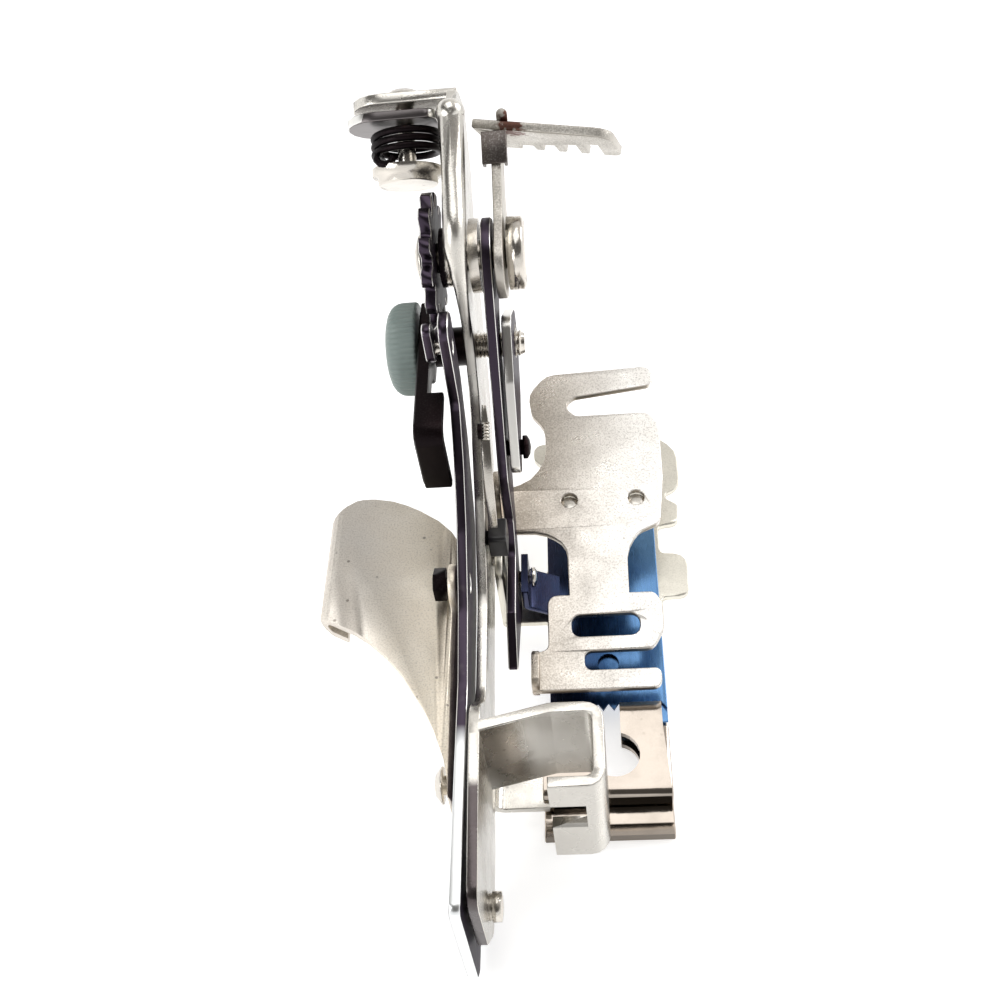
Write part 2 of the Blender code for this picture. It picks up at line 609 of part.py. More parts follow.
def make_guide():
    outline = rounded(in_box(GUIDE_OUTLINE_SHARES, GUIDE_START, GUIDE_SIZE, CORNER))
    window = rounded(in_box(LOOP_WINDOW_SHARES, GUIDE_START, GUIDE_SIZE, CORNER))
    dimples = [ring(GUIDE_START[0] + u * GUIDE_SIZE[0], v * GUIDE_SIZE[1], DIMPLE_RADIUS, COARSE_SIDES)
               for u, v in DIMPLE_SHARES]
    guide = plate("separator_guide", outline, GUIDE_SHEET, guide_place(), [window, *dimples])
    width = (NECK_SHARES[1] - NECK_SHARES[0]) * GUIDE_SIZE[1] - EDGE_ROUND * 2
    middle = neck_middle()
    neck_start = (middle.y - NEEDLE_Y - width / 2, middle.z - GUIDE_SHEET / 2)
    neck_shares = [(0, 0, 0), (1, 0, 0), (1, 1, 1), (0, 1, 1)]
    neck_outline = rounded(in_box(neck_shares, neck_start, (width, NECK_HEIGHT), CORNER))
    bore = ring(NECK_RIVET_Y, NECK_RIVET_Z, NECK_RIVET_RADIUS + BORE_GAP, COARSE_SIDES)
    neck = plate("neck", neck_outline, GUIDE_SHEET, side_view(NECK_X), [bore])
    tab_start = guide_place() @ Vector((GUIDE_START[0], 0, 0))
    tab_length = GUIDE_SIZE[1] * UPRIGHT_TAB_SHARES[1]
    tab_outline = rounded(in_box(neck_shares, (tab_start.y - NEEDLE_Y, tab_start.z - GUIDE_SHEET / 2),
                                 (tab_length, TAB_UP_HEIGHT), CORNER / 2))
    tab = plate("upright_tab", tab_outline, GUIDE_SHEET,
                side_view(GUIDE_START[0] + GUIDE_SIZE[0] * UPRIGHT_TAB_SHARES[0] + GUIDE_SHEET / 2))
    joined(guide, neck, tab)
    return dress(guide, SATIN)


# Under guide: the plate below the blades, whose ears show at the right of the guide, with
# a folded neck of its own
UNDER_LEFT_X = -5.6 * MM
UNDER_START = (UNDER_LEFT_X, FRAME_START[0] + FRAME_SIZE[0] * 0.4968)
UNDER_SIZE = (15.6 * MM, 29.0 * MM)
UNDER_OUTLINE_SHARES = [
    (0.000, 0.000, 0.6), (0.880, 0.000, 0.6), (0.880, 0.166, 0.3), (1.090, 0.166, 0.6),
    (1.100, 0.375, 1.0), (0.890, 0.385, 0.3), (0.890, 0.520, 0.3), (1.050, 0.530, 0.5),
    (1.065, 0.630, 0.4), (0.930, 0.680, 0.3), (1.090, 0.720, 1.2), (1.090, 0.930, 1.8),
    (0.950, 1.000, 0.6), (0.130, 1.000, 0.6), (-0.100, 1.000, 0.7), (-0.100, 0.910, 0.7),
    (0.000, 0.860, 0.4), (-0.130, 0.800, 0.4), (-0.130, 0.720, 0.4), (0.000, 0.680, 0.4),
    (0.000, 0.300, 0.4), (-0.355, 0.300, 0.2), (-0.355, 0.070, 0.2), (0.000, 0.070, 0.2)]
UNDER_NECK_SHARES = (0.070, 0.300)
UNDER_NECK_TOP = 12.6 * MM
UNDER_RIVET_DROP = 1.7 * MM


def under_place():
    drop = BLADE_STEEL / 2 + SEAT_GAP + GUIDE_SHEET / 2
    return tilted_plan(0, SEPARATOR_Z, BLADE_CLIMB) @ Matrix.Translation((0, 0, -drop))


UNDER_RIVET_Y = UNDER_START[1] + UNDER_SIZE[1] * sum(UNDER_NECK_SHARES) / 2
UNDER_RIVET_Z = UNDER_NECK_TOP - UNDER_RIVET_DROP


def make_under_guide():
    outline = rounded(in_box(UNDER_OUTLINE_SHARES, UNDER_START, UNDER_SIZE, CORNER))
    under = plate("under_guide", outline, GUIDE_SHEET, under_place())
    rear, front = [under_place() @ Vector((0, UNDER_START[1] + share * UNDER_SIZE[1], 0))
                   for share in UNDER_NECK_SHARES]
    low = GUIDE_SHEET / 3
    outline = rounded([(rear.y - NEEDLE_Y + EDGE_ROUND, rear.z - low, 0),
                       (front.y - NEEDLE_Y - EDGE_ROUND, front.z - low, 0),
                       (front.y - NEEDLE_Y - EDGE_ROUND, UNDER_NECK_TOP, CORNER),
                       (rear.y - NEEDLE_Y + EDGE_ROUND, UNDER_NECK_TOP, CORNER)])
    bore = ring(UNDER_RIVET_Y, UNDER_RIVET_Z, NECK_RIVET_RADIUS + BORE_GAP, COARSE_SIDES)
    neck = plate("under_neck", outline, GUIDE_SHEET, side_view(NECK_X), [bore])
    joined(under, neck)
    return dress(under, SATIN)


# Drive lever: a long plate on the pin at the tail, pressed down through the wing by the
# needle clamp
LEVER_SIZE = (54.2 * MM, 41.5 * MM)
LEVER_PIVOT_SHARES = (0.0923, 0.1445)
LEVER_START = (PIVOT_Y - LEVER_PIVOT_SHARES[0] * LEVER_SIZE[0],
               PIVOT_Z - LEVER_PIVOT_SHARES[1] * LEVER_SIZE[1])
LEVER_OUTLINE_SHARES = [
    (-0.004, 0.020, 0.6), (0.000, 0.398, 0.6), (0.443, 0.398, 2.0), (0.590, 0.446, 3.0),
    (0.738, 0.530, 3.0), (0.849, 0.627, 3.0), (0.925, 0.740, 1.0), (0.925, 1.000, 0.8),
    (1.000, 1.000, 1.0), (1.000, 0.760, 2.0), (0.955, 0.570, 3.0), (0.855, 0.360, 3.0),
    (0.690, 0.277, 3.0), (0.330, 0.217, 3.0), (0.210, 0.072, 1.5), (0.110, -0.012, 0.6),
    (0.020, -0.012, 0.4)]
PAWL_PIN_SHARES = (0.963, 0.897)
PAWL_PIN_RADIUS = 0.7 * MM
WING_RIVET_SHARES = (0.2767, 0.2988)
WING_RIVET_RADIUS = 1.0 * MM
WING_SCREW_SHARES = (0.6716, 0.4168)
WING_SCREW_RADIUS = 1.0 * MM
WING_RIVET_HEAD_RADIUS = 1.9 * MM
WING_RIVET_HEAD = 1.0 * MM
WING_RIVET_DOME = 0.8 * MM
WING_SCREW_HEAD_RADIUS = 1.8 * MM
WING_SCREW_HEAD = 1.5 * MM
WING_SCREW_DOME = 0.2 * MM
HEX = 6


def lever_point(shares):
    return [LEVER_START[i] + shares[i] * LEVER_SIZE[i] for i in range(2)]


WING_RIVET_Y, WING_RIVET_Z = lever_point(WING_RIVET_SHARES)
WING_SCREW_Y, WING_SCREW_Z = lever_point(WING_SCREW_SHARES)


def make_drive_lever():
    outline = rounded(in_box(LEVER_OUTLINE_SHARES, LEVER_START, LEVER_SIZE, CORNER))
    bores = [ring(PIVOT_Y, PIVOT_Z, PIN_RADIUS + BORE_GAP),
             ring(*lever_point(PAWL_PIN_SHARES), PAWL_PIN_RADIUS + BORE_GAP, COARSE_SIDES),
             ring(WING_RIVET_Y, WING_RIVET_Z, WING_RIVET_RADIUS + BORE_GAP, COARSE_SIDES),
             ring(WING_SCREW_Y, WING_SCREW_Z, WING_SCREW_RADIUS + BORE_GAP, COARSE_SIDES)]
    lever = plate("drive_lever", outline, SHEET, side_view(LEVER_X), bores)
    pivoted(lever, (LEVER_X, NEEDLE_Y + PIVOT_Y, PIVOT_Z))
    return dress(lever, DARK_STEEL)


PIN_HEAD_RIM = 0.2 * MM
PIN_HEAD = 1.1 * MM
PIN_HEAD_DOME = 0.2 * MM


def make_pivot_pin():
    head = (PIN_RADIUS + PIN_HEAD_RIM, PIN_HEAD, PIN_HEAD_DOME)
    pin = headed_pin("pivot_pin", LEVER_LEFT - SEAT_GAP, FRAME_RIGHT + SEAT_GAP, PIVOT_Y, PIVOT_Z,
                     PIN_RADIUS, head, head)
    return dress(pin, NICKEL)


# Wing: the sheet that the needle clamp bears on, riveted and screwed to the drive lever's
# left face and rolled under along its free edge
WING_RISE = 2.3 * MM
WING_Z = WING_RIVET_Z + WING_RISE
WING_LEFT_X = -29.6 * MM
WING_ROLL_RADIUS = 1.1 * MM
WING_LENGTH = 38.5 * MM
WING_REAR_MARGIN = 2.5 * MM
WING_REAR_Y = WING_RIVET_Y - WING_REAR_MARGIN
WING_SKIRT = 5.0 * MM
WING_SHEET = 0.9 * MM
WING_EAR_LENGTH = 4.4 * MM
WING_EAR_RIM = 1.0 * MM
WING_FACE_X = LEVER_LEFT - SEAT_GAP - WING_SHEET / 2
WING_OUTLINE_SHARES = [
    (1.000, 0.000, 0.0), (1.000, 0.780, 0.6), (0.850, 0.880, 3.0), (0.600, 0.955, 4.0),
    (0.350, 1.000, 4.0), (0.150, 1.000, 4.0), (-0.100, 0.900, 1.0), (-0.100, 0.600, 0.3),
    (0.050, 0.555, 1.0), (0.300, 0.500, 4.0), (0.550, 0.400, 6.0), (0.800, 0.230, 6.0),
    (0.930, 0.080, 4.0), (0.940, 0.000, 0.0)]


def make_wing():
    roll = WING_ROLL_RADIUS
    path = [(WING_FACE_X, WING_Z - WING_SKIRT), (WING_FACE_X, WING_Z, BEND_RADIUS * 0.7),
            (WING_LEFT_X, WING_Z, roll), (WING_LEFT_X, WING_Z - roll * 2, roll),
            (WING_LEFT_X + roll * 2.4, WING_Z - roll * 2, 0)]
    middle = NEEDLE_Y + WING_REAR_Y + WING_LENGTH / 2
    place = Matrix.Translation((0, middle, 0)) @ Matrix.Rotation(math.radians(90), 4, "X")
    wing = plate("needle_clamp_wing", strip(path, WING_SHEET), WING_LENGTH, place)
    width = WING_FACE_X + WING_SHEET - WING_LEFT_X
    shape = rounded(in_box(WING_OUTLINE_SHARES, (WING_LEFT_X, WING_REAR_Y), (width, WING_LENGTH), CORNER))
    stamp = plate("wing_stamp", shape, WING_SKIRT * 4, plan_view(WING_Z), edge=EDGE_ROUND / 100)
    kept_in(wing, stamp)
    ear_shares = [(-0.5, 0, 0), (0.5, 0, 0), (0.5, 1, 1), (-0.5, 1, 1)]
    ear_size = (WING_EAR_LENGTH, WING_SCREW_Z + WING_SCREW_RADIUS + WING_EAR_RIM - WING_Z)
    ear_outline = rounded(in_box(ear_shares, (WING_SCREW_Y, WING_Z), ear_size, CORNER))
    joined(wing, plate("wing_ear", ear_outline, WING_SHEET, side_view(WING_FACE_X)))
    bores = []
    for name, y, z, radius in (("rivet_bore", WING_RIVET_Y, WING_RIVET_Z, WING_RIVET_RADIUS),
                               ("screw_bore", WING_SCREW_Y, WING_SCREW_Z, WING_SCREW_RADIUS)):
        reach = radius + BORE_GAP
        bores.append(turned(name, [(0, SHEET), (reach, SHEET), (reach, -SHEET), (0, -SHEET)],
                            across(WING_FACE_X, y, z), COARSE_SIDES))
    cut_by(wing, *bores)
    return dress(wing, SATIN)


def make_wing_fixings():
    left = WING_FACE_X - WING_SHEET / 2 - SEAT_GAP
    right = LEVER_RIGHT - EDGE_ROUND
    rivet = headed_pin("wing_rivet", left, right, WING_RIVET_Y, WING_RIVET_Z, WING_RIVET_RADIUS,
                       (WING_RIVET_HEAD_RADIUS, WING_RIVET_HEAD, WING_RIVET_DOME), (0, 0, 0))
    dress(rivet, NICKEL)
    screw = headed_pin("wing_screw", left, right, WING_SCREW_Y, WING_SCREW_Z, WING_SCREW_RADIUS,
                       (WING_SCREW_HEAD_RADIUS, WING_SCREW_HEAD, WING_SCREW_DOME), (0, 0, 0), HEX)
    return rivet, dress(screw, BLACK_STEEL)


# Ratchet: the toothed wheel at the left end of the hub stud, and the pawl that the drive
# lever carries behind it
WHEEL_TEETH = 12
WHEEL_RADIUS = 7.1 * MM
WHEEL_ROOT_RADIUS = 5.5 * MM
WHEEL_SHEET = 1.3 * MM
WHEEL_X = LEVER_LEFT - SEAT_GAP * 2 - WHEEL_SHEET / 2
STUD_HEAD_RADIUS = 2.6 * MM
STUD_HEAD = 0.8 * MM
SPACER_RADIUS = 4.0 * MM
CAP_RADIUS = 3.95 * MM
CAP_HEIGHT = 1.9 * MM
STUD_SHOULDER_RADIUS = 3.2 * MM


def make_wheel():
    outline = []
    for tooth in range(WHEEL_TEETH):
        start = 2 * math.pi * tooth / WHEEL_TEETH
        for share, radius in ((0.00, WHEEL_ROOT_RADIUS), (0.12, WHEEL_RADIUS), (0.52, WHEEL_RADIUS),
                              (0.66, WHEEL_ROOT_RADIUS)):
            angle = start + share * 2 * math.pi / WHEEL_TEETH
            outline.append((radius * math.cos(angle), radius * math.sin(angle)))
    bore = ring(0, 0, STUD_RADIUS + BORE_GAP)
    wheel = plate("ratchet_wheel", outline, WHEEL_SHEET,
                  side_view(WHEEL_X) @ Matrix.Translation((HUB_Y, HUB_Z, 0)), [bore])
    return dress(wheel, DARK_STEEL)


def make_hub():
    left = WHEEL_X - WHEEL_SHEET / 2 - SEAT_GAP
    right = FLANGE_X + FLANGE_SHEET / 2 + SEAT_GAP
    shoulder_left = WHEEL_X + WHEEL_SHEET / 2 + SEAT_GAP
    shoulder_right = FRAME_LEFT - SEAT_GAP
    length = right - left
    profile = [(0, length + CAP_HEIGHT), (CAP_RADIUS * 0.86, length + CAP_HEIGHT),
               (CAP_RADIUS, length + CAP_HEIGHT * 0.8), (CAP_RADIUS, length), (STUD_RADIUS, length),
               (STUD_RADIUS, shoulder_right - left), (STUD_SHOULDER_RADIUS, shoulder_right - left),
               (STUD_SHOULDER_RADIUS, shoulder_left - left), (STUD_RADIUS, shoulder_left - left),
               (STUD_RADIUS, 0), (STUD_HEAD_RADIUS, 0), (STUD_HEAD_RADIUS, -STUD_HEAD * 0.5),
               (STUD_HEAD_RADIUS * 0.6, -STUD_HEAD), (0, -STUD_HEAD)]
    stud = dress(turned("hub_stud", profile, across(left, HUB_Y, HUB_Z), FINE_SIDES), NICKEL)
    spacer_left = FRAME_RIGHT + SEAT_GAP
    spacer_long = CARRIER_X - SHEET / 2 - SEAT_GAP - spacer_left
    inner = STUD_RADIUS + BORE_GAP
    profile = [(inner, spacer_long), (SPACER_RADIUS, spacer_long), (SPACER_RADIUS, 0), (inner, 0),
               (inner, spacer_long)]
    spacer = turned("hub_spacer", profile, across(spacer_left, HUB_Y, HUB_Z), FINE_SIDES)
    return stud, dress(spacer, NICKEL)


PAWL_X = WHEEL_X
PAWL_SHEET = 1.0 * MM
PAWL_NOSE_GAP = 0.35 * MM
PAWL_NOSE_WIDTH = 1.2 * MM
PAWL_NOSE_ANGLE = math.radians(208)
PAWL_TAIL_LENGTH = 3.6 * MM


def make_pawl():
    y, z = lever_point(PAWL_PIN_SHARES)
    boss = PAWL_PIN_RADIUS * 2
    reach = WHEEL_RADIUS + PAWL_NOSE_GAP
    nose_y = HUB_Y + reach * math.cos(PAWL_NOSE_ANGLE)
    nose_z = HUB_Z + reach * math.sin(PAWL_NOSE_ANGLE)
    outline = rounded([(y - boss, z - boss, boss), (y + boss, z - boss, boss),
                       (nose_y, nose_z - PAWL_NOSE_WIDTH, 0), (nose_y, nose_z, 0),
                       (y + boss, z + boss, boss), (y, z + PAWL_TAIL_LENGTH, boss / 2),
                       (y - boss, z + PAWL_TAIL_LENGTH, boss / 2)])
    bore = ring(y, z, PAWL_PIN_RADIUS + BORE_GAP, COARSE_SIDES)
    pawl = plate("pawl", outline, PAWL_SHEET, side_view(PAWL_X), [bore])
    pivoted(pawl, (PAWL_X, NEEDLE_Y + y, z))
    dress(pawl, DARK_STEEL)
    pin = headed_pin("pawl_pin", PAWL_X - PAWL_SHEET / 2, LEVER_RIGHT - EDGE_ROUND, y, z,
                     PAWL_PIN_RADIUS, (0, 0, 0), (0, 0, 0), COARSE_SIDES)
    return pawl, dress(pin, NICKEL)


# Blade carrier: the arm that hangs from the hub and draws the ruffling blade along by a pin
# in its slot, with the slotted plate that steadies it on the adjusting screw
CARRIER_X = -9.25 * MM
CARRIER_REACH = Vector((DRIVE_PIN_Y - HUB_Y, DRIVE_PIN_Z - HUB_Z)).length
CARRIER_OUTLINE_SHARES = [
    (-0.105, 0.105, 2.0), (0.110, 0.100, 1.0), (0.200, 0.030, 1.2), (0.400, 0.030, 1.5),
    (0.520, 0.075, 1.5), (0.800, 0.062, 1.5), (1.140, 0.062, 1.0), (1.140, -0.062, 0.5),
    (1.178, -0.293, 0.15), (1.020, -0.215, 0.2), (0.900, -0.022, 1.0), (0.800, -0.022, 1.0),
    (0.640, -0.115, 1.5), (0.150, -0.115, 1.5), (-0.105, -0.105, 2.0)]
SLOTTED_X = -7.8 * MM
SLOTTED_OUTLINE_SHARES = [
    (0.170, -0.055, 0.8), (0.180, 0.150, 1.2), (0.300, 0.195, 2.0), (0.440, 0.150, 1.5),
    (0.560, 0.020, 1.0), (0.645, -0.040, 0.5), (0.620, -0.110, 0.5), (0.350, -0.100, 1.5)]
SLOTTED_RIVET_SHARES = (0.565, -0.040)
SLOTTED_RIVET_RADIUS = 0.9 * MM
SLOTTED_RIVET_HEAD_RADIUS = 1.35 * MM
SLOTTED_RIVET_HEAD = 0.9 * MM
SLOT_EASE = math.radians(0.6)
SLOT_CLEARANCE = 0.15 * MM
SLOT_STEPS = 4


def carrier_axes():
    along = Vector((DRIVE_PIN_Y - HUB_Y, DRIVE_PIN_Z - HUB_Z)).normalized()
    return along, Vector((-along.y, along.x))


def on_carrier(along_share, side_share):
    """A place in the side view from shares of the arm's length along it and to its front."""
    along, side = carrier_axes()
    spot = Vector((HUB_Y, HUB_Z)) + (along * along_share + side * side_share) * CARRIER_REACH
    return spot.x, spot.y


def carrier_outline(shares):
    return rounded([(*on_carrier(u, v), k * CORNER) for u, v, k in shares][::-1])


def blade_pin_after_stroke():
    return Vector((DRIVE_PIN_Y - STROKE, DRIVE_PIN_Z - STROKE * math.tan(BLADE_CLIMB)))


def carrier_swing():
    """How far the carrier turns back while the blade makes its stroke."""
    start = Vector((DRIVE_PIN_Y - HUB_Y, DRIVE_PIN_Z - HUB_Z))
    end = blade_pin_after_stroke() - Vector((HUB_Y, HUB_Z))
    return start.angle(end)


def round_slot(spots, reach, centre):
    """A slot with round ends along an arc of places about a centre."""
    outer, inner = [], []
    for spot in spots:
        outward = (spot - centre).normalized() * reach
        outer.append(spot + outward)
        inner.append(spot - outward)
    slot = []
    for side, cap_spot in ((outer, spots[-1]), (inner[::-1], spots[0])):
        slot += side
        out = side[-1] - cap_spot
        for step in range(1, SLOT_STEPS):
            slot.append(cap_spot + Matrix.Rotation(math.pi * step / SLOT_STEPS, 2) @ out)
    return slot


def arc_slot(radius_place, start, end, reach):
    centre = Vector((HUB_Y, HUB_Z))
    arm = radius_place - centre
    turns = [start + (end - start) * step / SLOT_STEPS for step in range(SLOT_STEPS + 1)]
    return round_slot([centre + Matrix.Rotation(turn, 2) @ arm for turn in turns], reach, centre)


def make_carrier():
    along, _ = carrier_axes()
    hub = Vector((HUB_Y, HUB_Z))
    near = hub + along * CARRIER_REACH
    far = hub + along * (blade_pin_after_stroke() - hub).length
    reach = DRIVE_PIN_RADIUS + SLOT_CLEARANCE
    side = Vector((-along.y, along.x)) * reach
    slot = []
    for spot, sign in ((far, 1), (near, -1)):
        for step in range(SLOT_STEPS + 1):
            slot.append(spot + Matrix.Rotation(-math.pi * step / SLOT_STEPS, 2) @ (side * sign))
    bores = [ring(HUB_Y, HUB_Z, STUD_RADIUS + BORE_GAP), slot,
             ring(*on_carrier(*SLOTTED_RIVET_SHARES), SLOTTED_RIVET_RADIUS + BORE_GAP, COARSE_SIDES)]
    carrier = plate("blade_carrier", carrier_outline(CARRIER_OUTLINE_SHARES), SHEET,
                    side_view(CARRIER_X), bores)
    pivoted(carrier, (CARRIER_X, NEEDLE_Y + HUB_Y, HUB_Z))
    dress(carrier, DARK_STEEL)
    screw_slot = arc_slot(Vector((SCREW_Y, SCREW_Z)), -SLOT_EASE, carrier_swing() + SLOT_EASE,
                          SCREW_RADIUS + SLOT_CLEARANCE)
    bore = ring(*on_carrier(*SLOTTED_RIVET_SHARES), SLOTTED_RIVET_RADIUS + BORE_GAP, COARSE_SIDES)
    slotted = plate("slotted_plate", carrier_outline(SLOTTED_OUTLINE_SHARES), SHEET, side_view(SLOTTED_X),
                    [screw_slot, bore])
    dress(slotted, NICKEL)
    rivet = headed_pin("slotted_rivet", CARRIER_X - SHEET / 2 + EDGE_ROUND, SLOTTED_X + SHEET / 2 + SEAT_GAP,
                       *on_carrier(*SLOTTED_RIVET_SHARES), SLOTTED_RIVET_RADIUS, (0, 0, 0),
                       (SLOTTED_RIVET_HEAD_RADIUS, SLOTTED_RIVET_HEAD, SLOTTED_RIVET_HEAD / 2), COARSE_SIDES)
    return carrier, slotted, dress(rivet, DARK_STEEL)


DRIVE_PIN_HEAD_RADIUS = 1.2 * MM
DRIVE_PIN_HEAD = 0.8 * MM


def make_drive_pin():
    pin = headed_pin("drive_pin", CARRIER_X - SHEET / 2, DRIVE_EAR_X + DRIVE_EAR_SHEET / 2 + SEAT_GAP,
                     DRIVE_PIN_Y, DRIVE_PIN_Z, DRIVE_PIN_RADIUS, (0, 0, 0),
                     (DRIVE_PIN_HEAD_RADIUS, DRIVE_PIN_HEAD, DRIVE_PIN_HEAD / 2), COARSE_SIDES)
    return dress(pin, NICKEL)


# Stop block: the black nylon block on the frame that the carrier meets at the end of its
# swing
BLOCK_SHARES = (0.5350, 0.2923)
BLOCK_SIDE = 3.3 * MM
BLOCK_WIDTH = 2.0 * MM
BLOCK_PEG_RADIUS = 0.8 * MM
BLOCK_Y, BLOCK_Z = frame_point(BLOCK_SHARES)


def make_stop_block():
    left = FRAME_RIGHT + SEAT_GAP
    corner_shares = [(-0.5, -0.5, 0.25), (0.5, -0.5, 0.25), (0.5, 0.5, 0.25), (-0.5, 0.5, 0.25)]
    outline = rounded(in_box(corner_shares, (BLOCK_Y, BLOCK_Z), (BLOCK_SIDE, BLOCK_SIDE), CORNER))
    block = plate("stop_block", outline, BLOCK_WIDTH, side_view(left + BLOCK_WIDTH / 2))
    length = SEAT_GAP + SHEET - EDGE_ROUND
    peg = turned("peg", [(0, length + EDGE_ROUND), (BLOCK_PEG_RADIUS, length + EDGE_ROUND),
                         (BLOCK_PEG_RADIUS, 0), (0, 0)],
                 across(left - length, BLOCK_Y, BLOCK_Z), COARSE_SIDES)
    joined(block, peg)
    return dress(block, BLACK_NYLON)


# Stroke adjuster: a black folded bracket on a bush, the threaded screw through the frame
# and its knurled knob
BRACKET_SHEET = 1.0 * MM
BRACKET_X = -17.2 * MM
BRACKET_WIDTH = 3.0 * MM
BUSH_RADIUS = 2.2 * MM
BRACKET_BACK = 16.4 * MM
BRACKET_DROP = 6.0 * MM
BRACKET_START = (SCREW_Y - BRACKET_BACK, SCREW_Z - BRACKET_DROP)
BRACKET_SIZE = (19.4 * MM, 10.4 * MM)
BRACKET_SHARES = [
    (1.000, 0.250, 1.2), (1.000, 1.000, 1.0), (0.000, 0.860, 0.8), (0.030, 0.000, 0.5),
    (0.160, 0.000, 0.5), (0.220, 0.380, 0.8), (0.400, 0.480, 0.8), (0.660, 0.480, 0.8),
    (0.700, 0.250, 1.0)]
FLANGE_PATH_SHARES = [(0.980, 0.965, 0.0), (0.015, 0.830, 0.8), (0.045, 0.020, 0.0)]
PAWL_NOTCH_SHARES = (0.290, 1.100)
KNOB_RADIUS = 5.3 * MM
KNOB_WIDTH = 3.2 * MM
KNOB_RIDGES = 26
KNOB_RIDGE_DEPTH = 0.32 * MM
KNOB_EDGE = 0.3 * MM
KNOB_RIDGE_SHARES = ((0.1, 0), (0.55, 0), (0.8, 1))
SCREW_END_X = -6.2 * MM
SCREW_HEAD_RADIUS = 3.4 * MM
SCREW_HEAD_RIM = 0.6 * MM
SCREW_HEAD_DOME = 0.3 * MM
SCREW_CHAMFER = 0.4 * MM


def make_adjuster():
    outline = rounded(in_box(BRACKET_SHARES, BRACKET_START, BRACKET_SIZE, CORNER))
    bore = ring(SCREW_Y, SCREW_Z, SCREW_RADIUS + BORE_GAP)
    bracket = plate("adjusting_bracket", outline, BRACKET_SHEET, side_view(BRACKET_X), [bore])
    path = in_box(FLANGE_PATH_SHARES, BRACKET_START, BRACKET_SIZE, CORNER)
    flange = plate("bracket_flange", strip(path, BRACKET_SHEET), BRACKET_WIDTH,
                   side_view(BRACKET_X + BRACKET_WIDTH / 2 - BRACKET_SHEET / 2 + EDGE_ROUND))
    notch_y = [NEEDLE_Y + BRACKET_START[0] + share * BRACKET_SIZE[0] for share in PAWL_NOTCH_SHARES]
    notch = solid_box("pawl_notch", (WHEEL_X - WHEEL_SHEET / 2 - SEAT_GAP, notch_y[0], SCREW_Z),
                      (LEVER_RIGHT, notch_y[1], BRACKET_START[1] + BRACKET_SIZE[1] + CUT_OVER))
    cut_by(flange, notch)
    joined(bracket, flange)
    dress(bracket, BLACK_STEEL)
    bush_left = BRACKET_X + BRACKET_SHEET / 2 + SEAT_GAP
    bush_right = FRAME_LEFT - SEAT_GAP
    inner = SCREW_RADIUS + BORE_GAP
    profile = [(inner, bush_right - bush_left), (BUSH_RADIUS, bush_right - bush_left), (BUSH_RADIUS, 0),
               (inner, 0), (inner, bush_right - bush_left)]
    bush = dress(turned("bracket_bush", profile, across(bush_left, SCREW_Y, SCREW_Z)), BLACK_STEEL)
    knob_right = BRACKET_X - BRACKET_SHEET / 2 - SEAT_GAP
    knob_left = knob_right - KNOB_WIDTH
    ridges = []
    for ridge in range(KNOB_RIDGES):
        for share, depth_share in KNOB_RIDGE_SHARES:
            radius = KNOB_RADIUS - KNOB_RIDGE_DEPTH * depth_share
            angle = 2 * math.pi * (ridge + share) / KNOB_RIDGES
            ridges.append((radius * math.cos(angle), radius * math.sin(angle)))
    socket = ring(0, 0, SCREW_RADIUS + BORE_GAP)
    knob = plate("adjusting_knob", ridges, KNOB_WIDTH,
                 side_view(0) @ Matrix.Translation((SCREW_Y, SCREW_Z, knob_right - KNOB_WIDTH / 2)),
                 [socket], edge=KNOB_EDGE)
    dress(knob, GREY_GREEN)
    length = SCREW_END_X - knob_left
    rim = -SEAT_GAP - SCREW_HEAD_RIM
    profile = [(0, length), (SCREW_RADIUS - SCREW_CHAMFER, length), (SCREW_RADIUS, length - SCREW_CHAMFER),
               (SCREW_RADIUS, -SEAT_GAP), (SCREW_HEAD_RADIUS, -SEAT_GAP),
               (SCREW_HEAD_RADIUS - SCREW_HEAD_RIM, rim), (0, rim - SCREW_HEAD_DOME)]
    screw = dress(turned("adjusting_screw", profile, across(knob_left, SCREW_Y, SCREW_Z)), NICKEL)
    return bracket, bush, knob, screw


# Number flange: the inclined plate with the stroke notches, folded from a foot that is
# clamped on the hub stud under its cap
FLANGE_WIDTH = 15.4 * MM
FLANGE_DEPTH = 8.4 * MM
FLANGE_YAW = math.radians(-14.5)
FLANGE_SHEET = 1.0 * MM
FLANGE_LEFT_X = -10.4 * MM
FLANGE_AHEAD = 11.5 * MM
FLANGE_RISE = 9.0 * MM
FLANGE_X = -7.9 * MM
NOTCH_WIDTH = 1.6 * MM
NOTCH_DEPTH_SHARES = (0.22, 0.32, 0.42, 0.52)
NOTCH_FIRST_SHARE = 0.30
NOTCH_STEP_SHARE = 0.17
FLANGE_FOOT_OUTLINE_SHARES = [
    (0.000, 0.000, 2.0), (0.500, -0.080, 2.0), (0.620, 0.450, 1.5), (0.930, 0.690, 0.3),
    (0.680, 0.985, 0.3), (0.280, 0.620, 2.0), (-0.100, 0.520, 2.0)]


def flange_place():
    root = Matrix.Translation((FLANGE_LEFT_X, NEEDLE_Y + HUB_Y + FLANGE_AHEAD, HUB_Z + FLANGE_RISE))
    return root @ Matrix.Rotation(FLANGE_YAW, 4, "Z") @ Matrix.Rotation(-EAR_INCLINE, 4, "X")


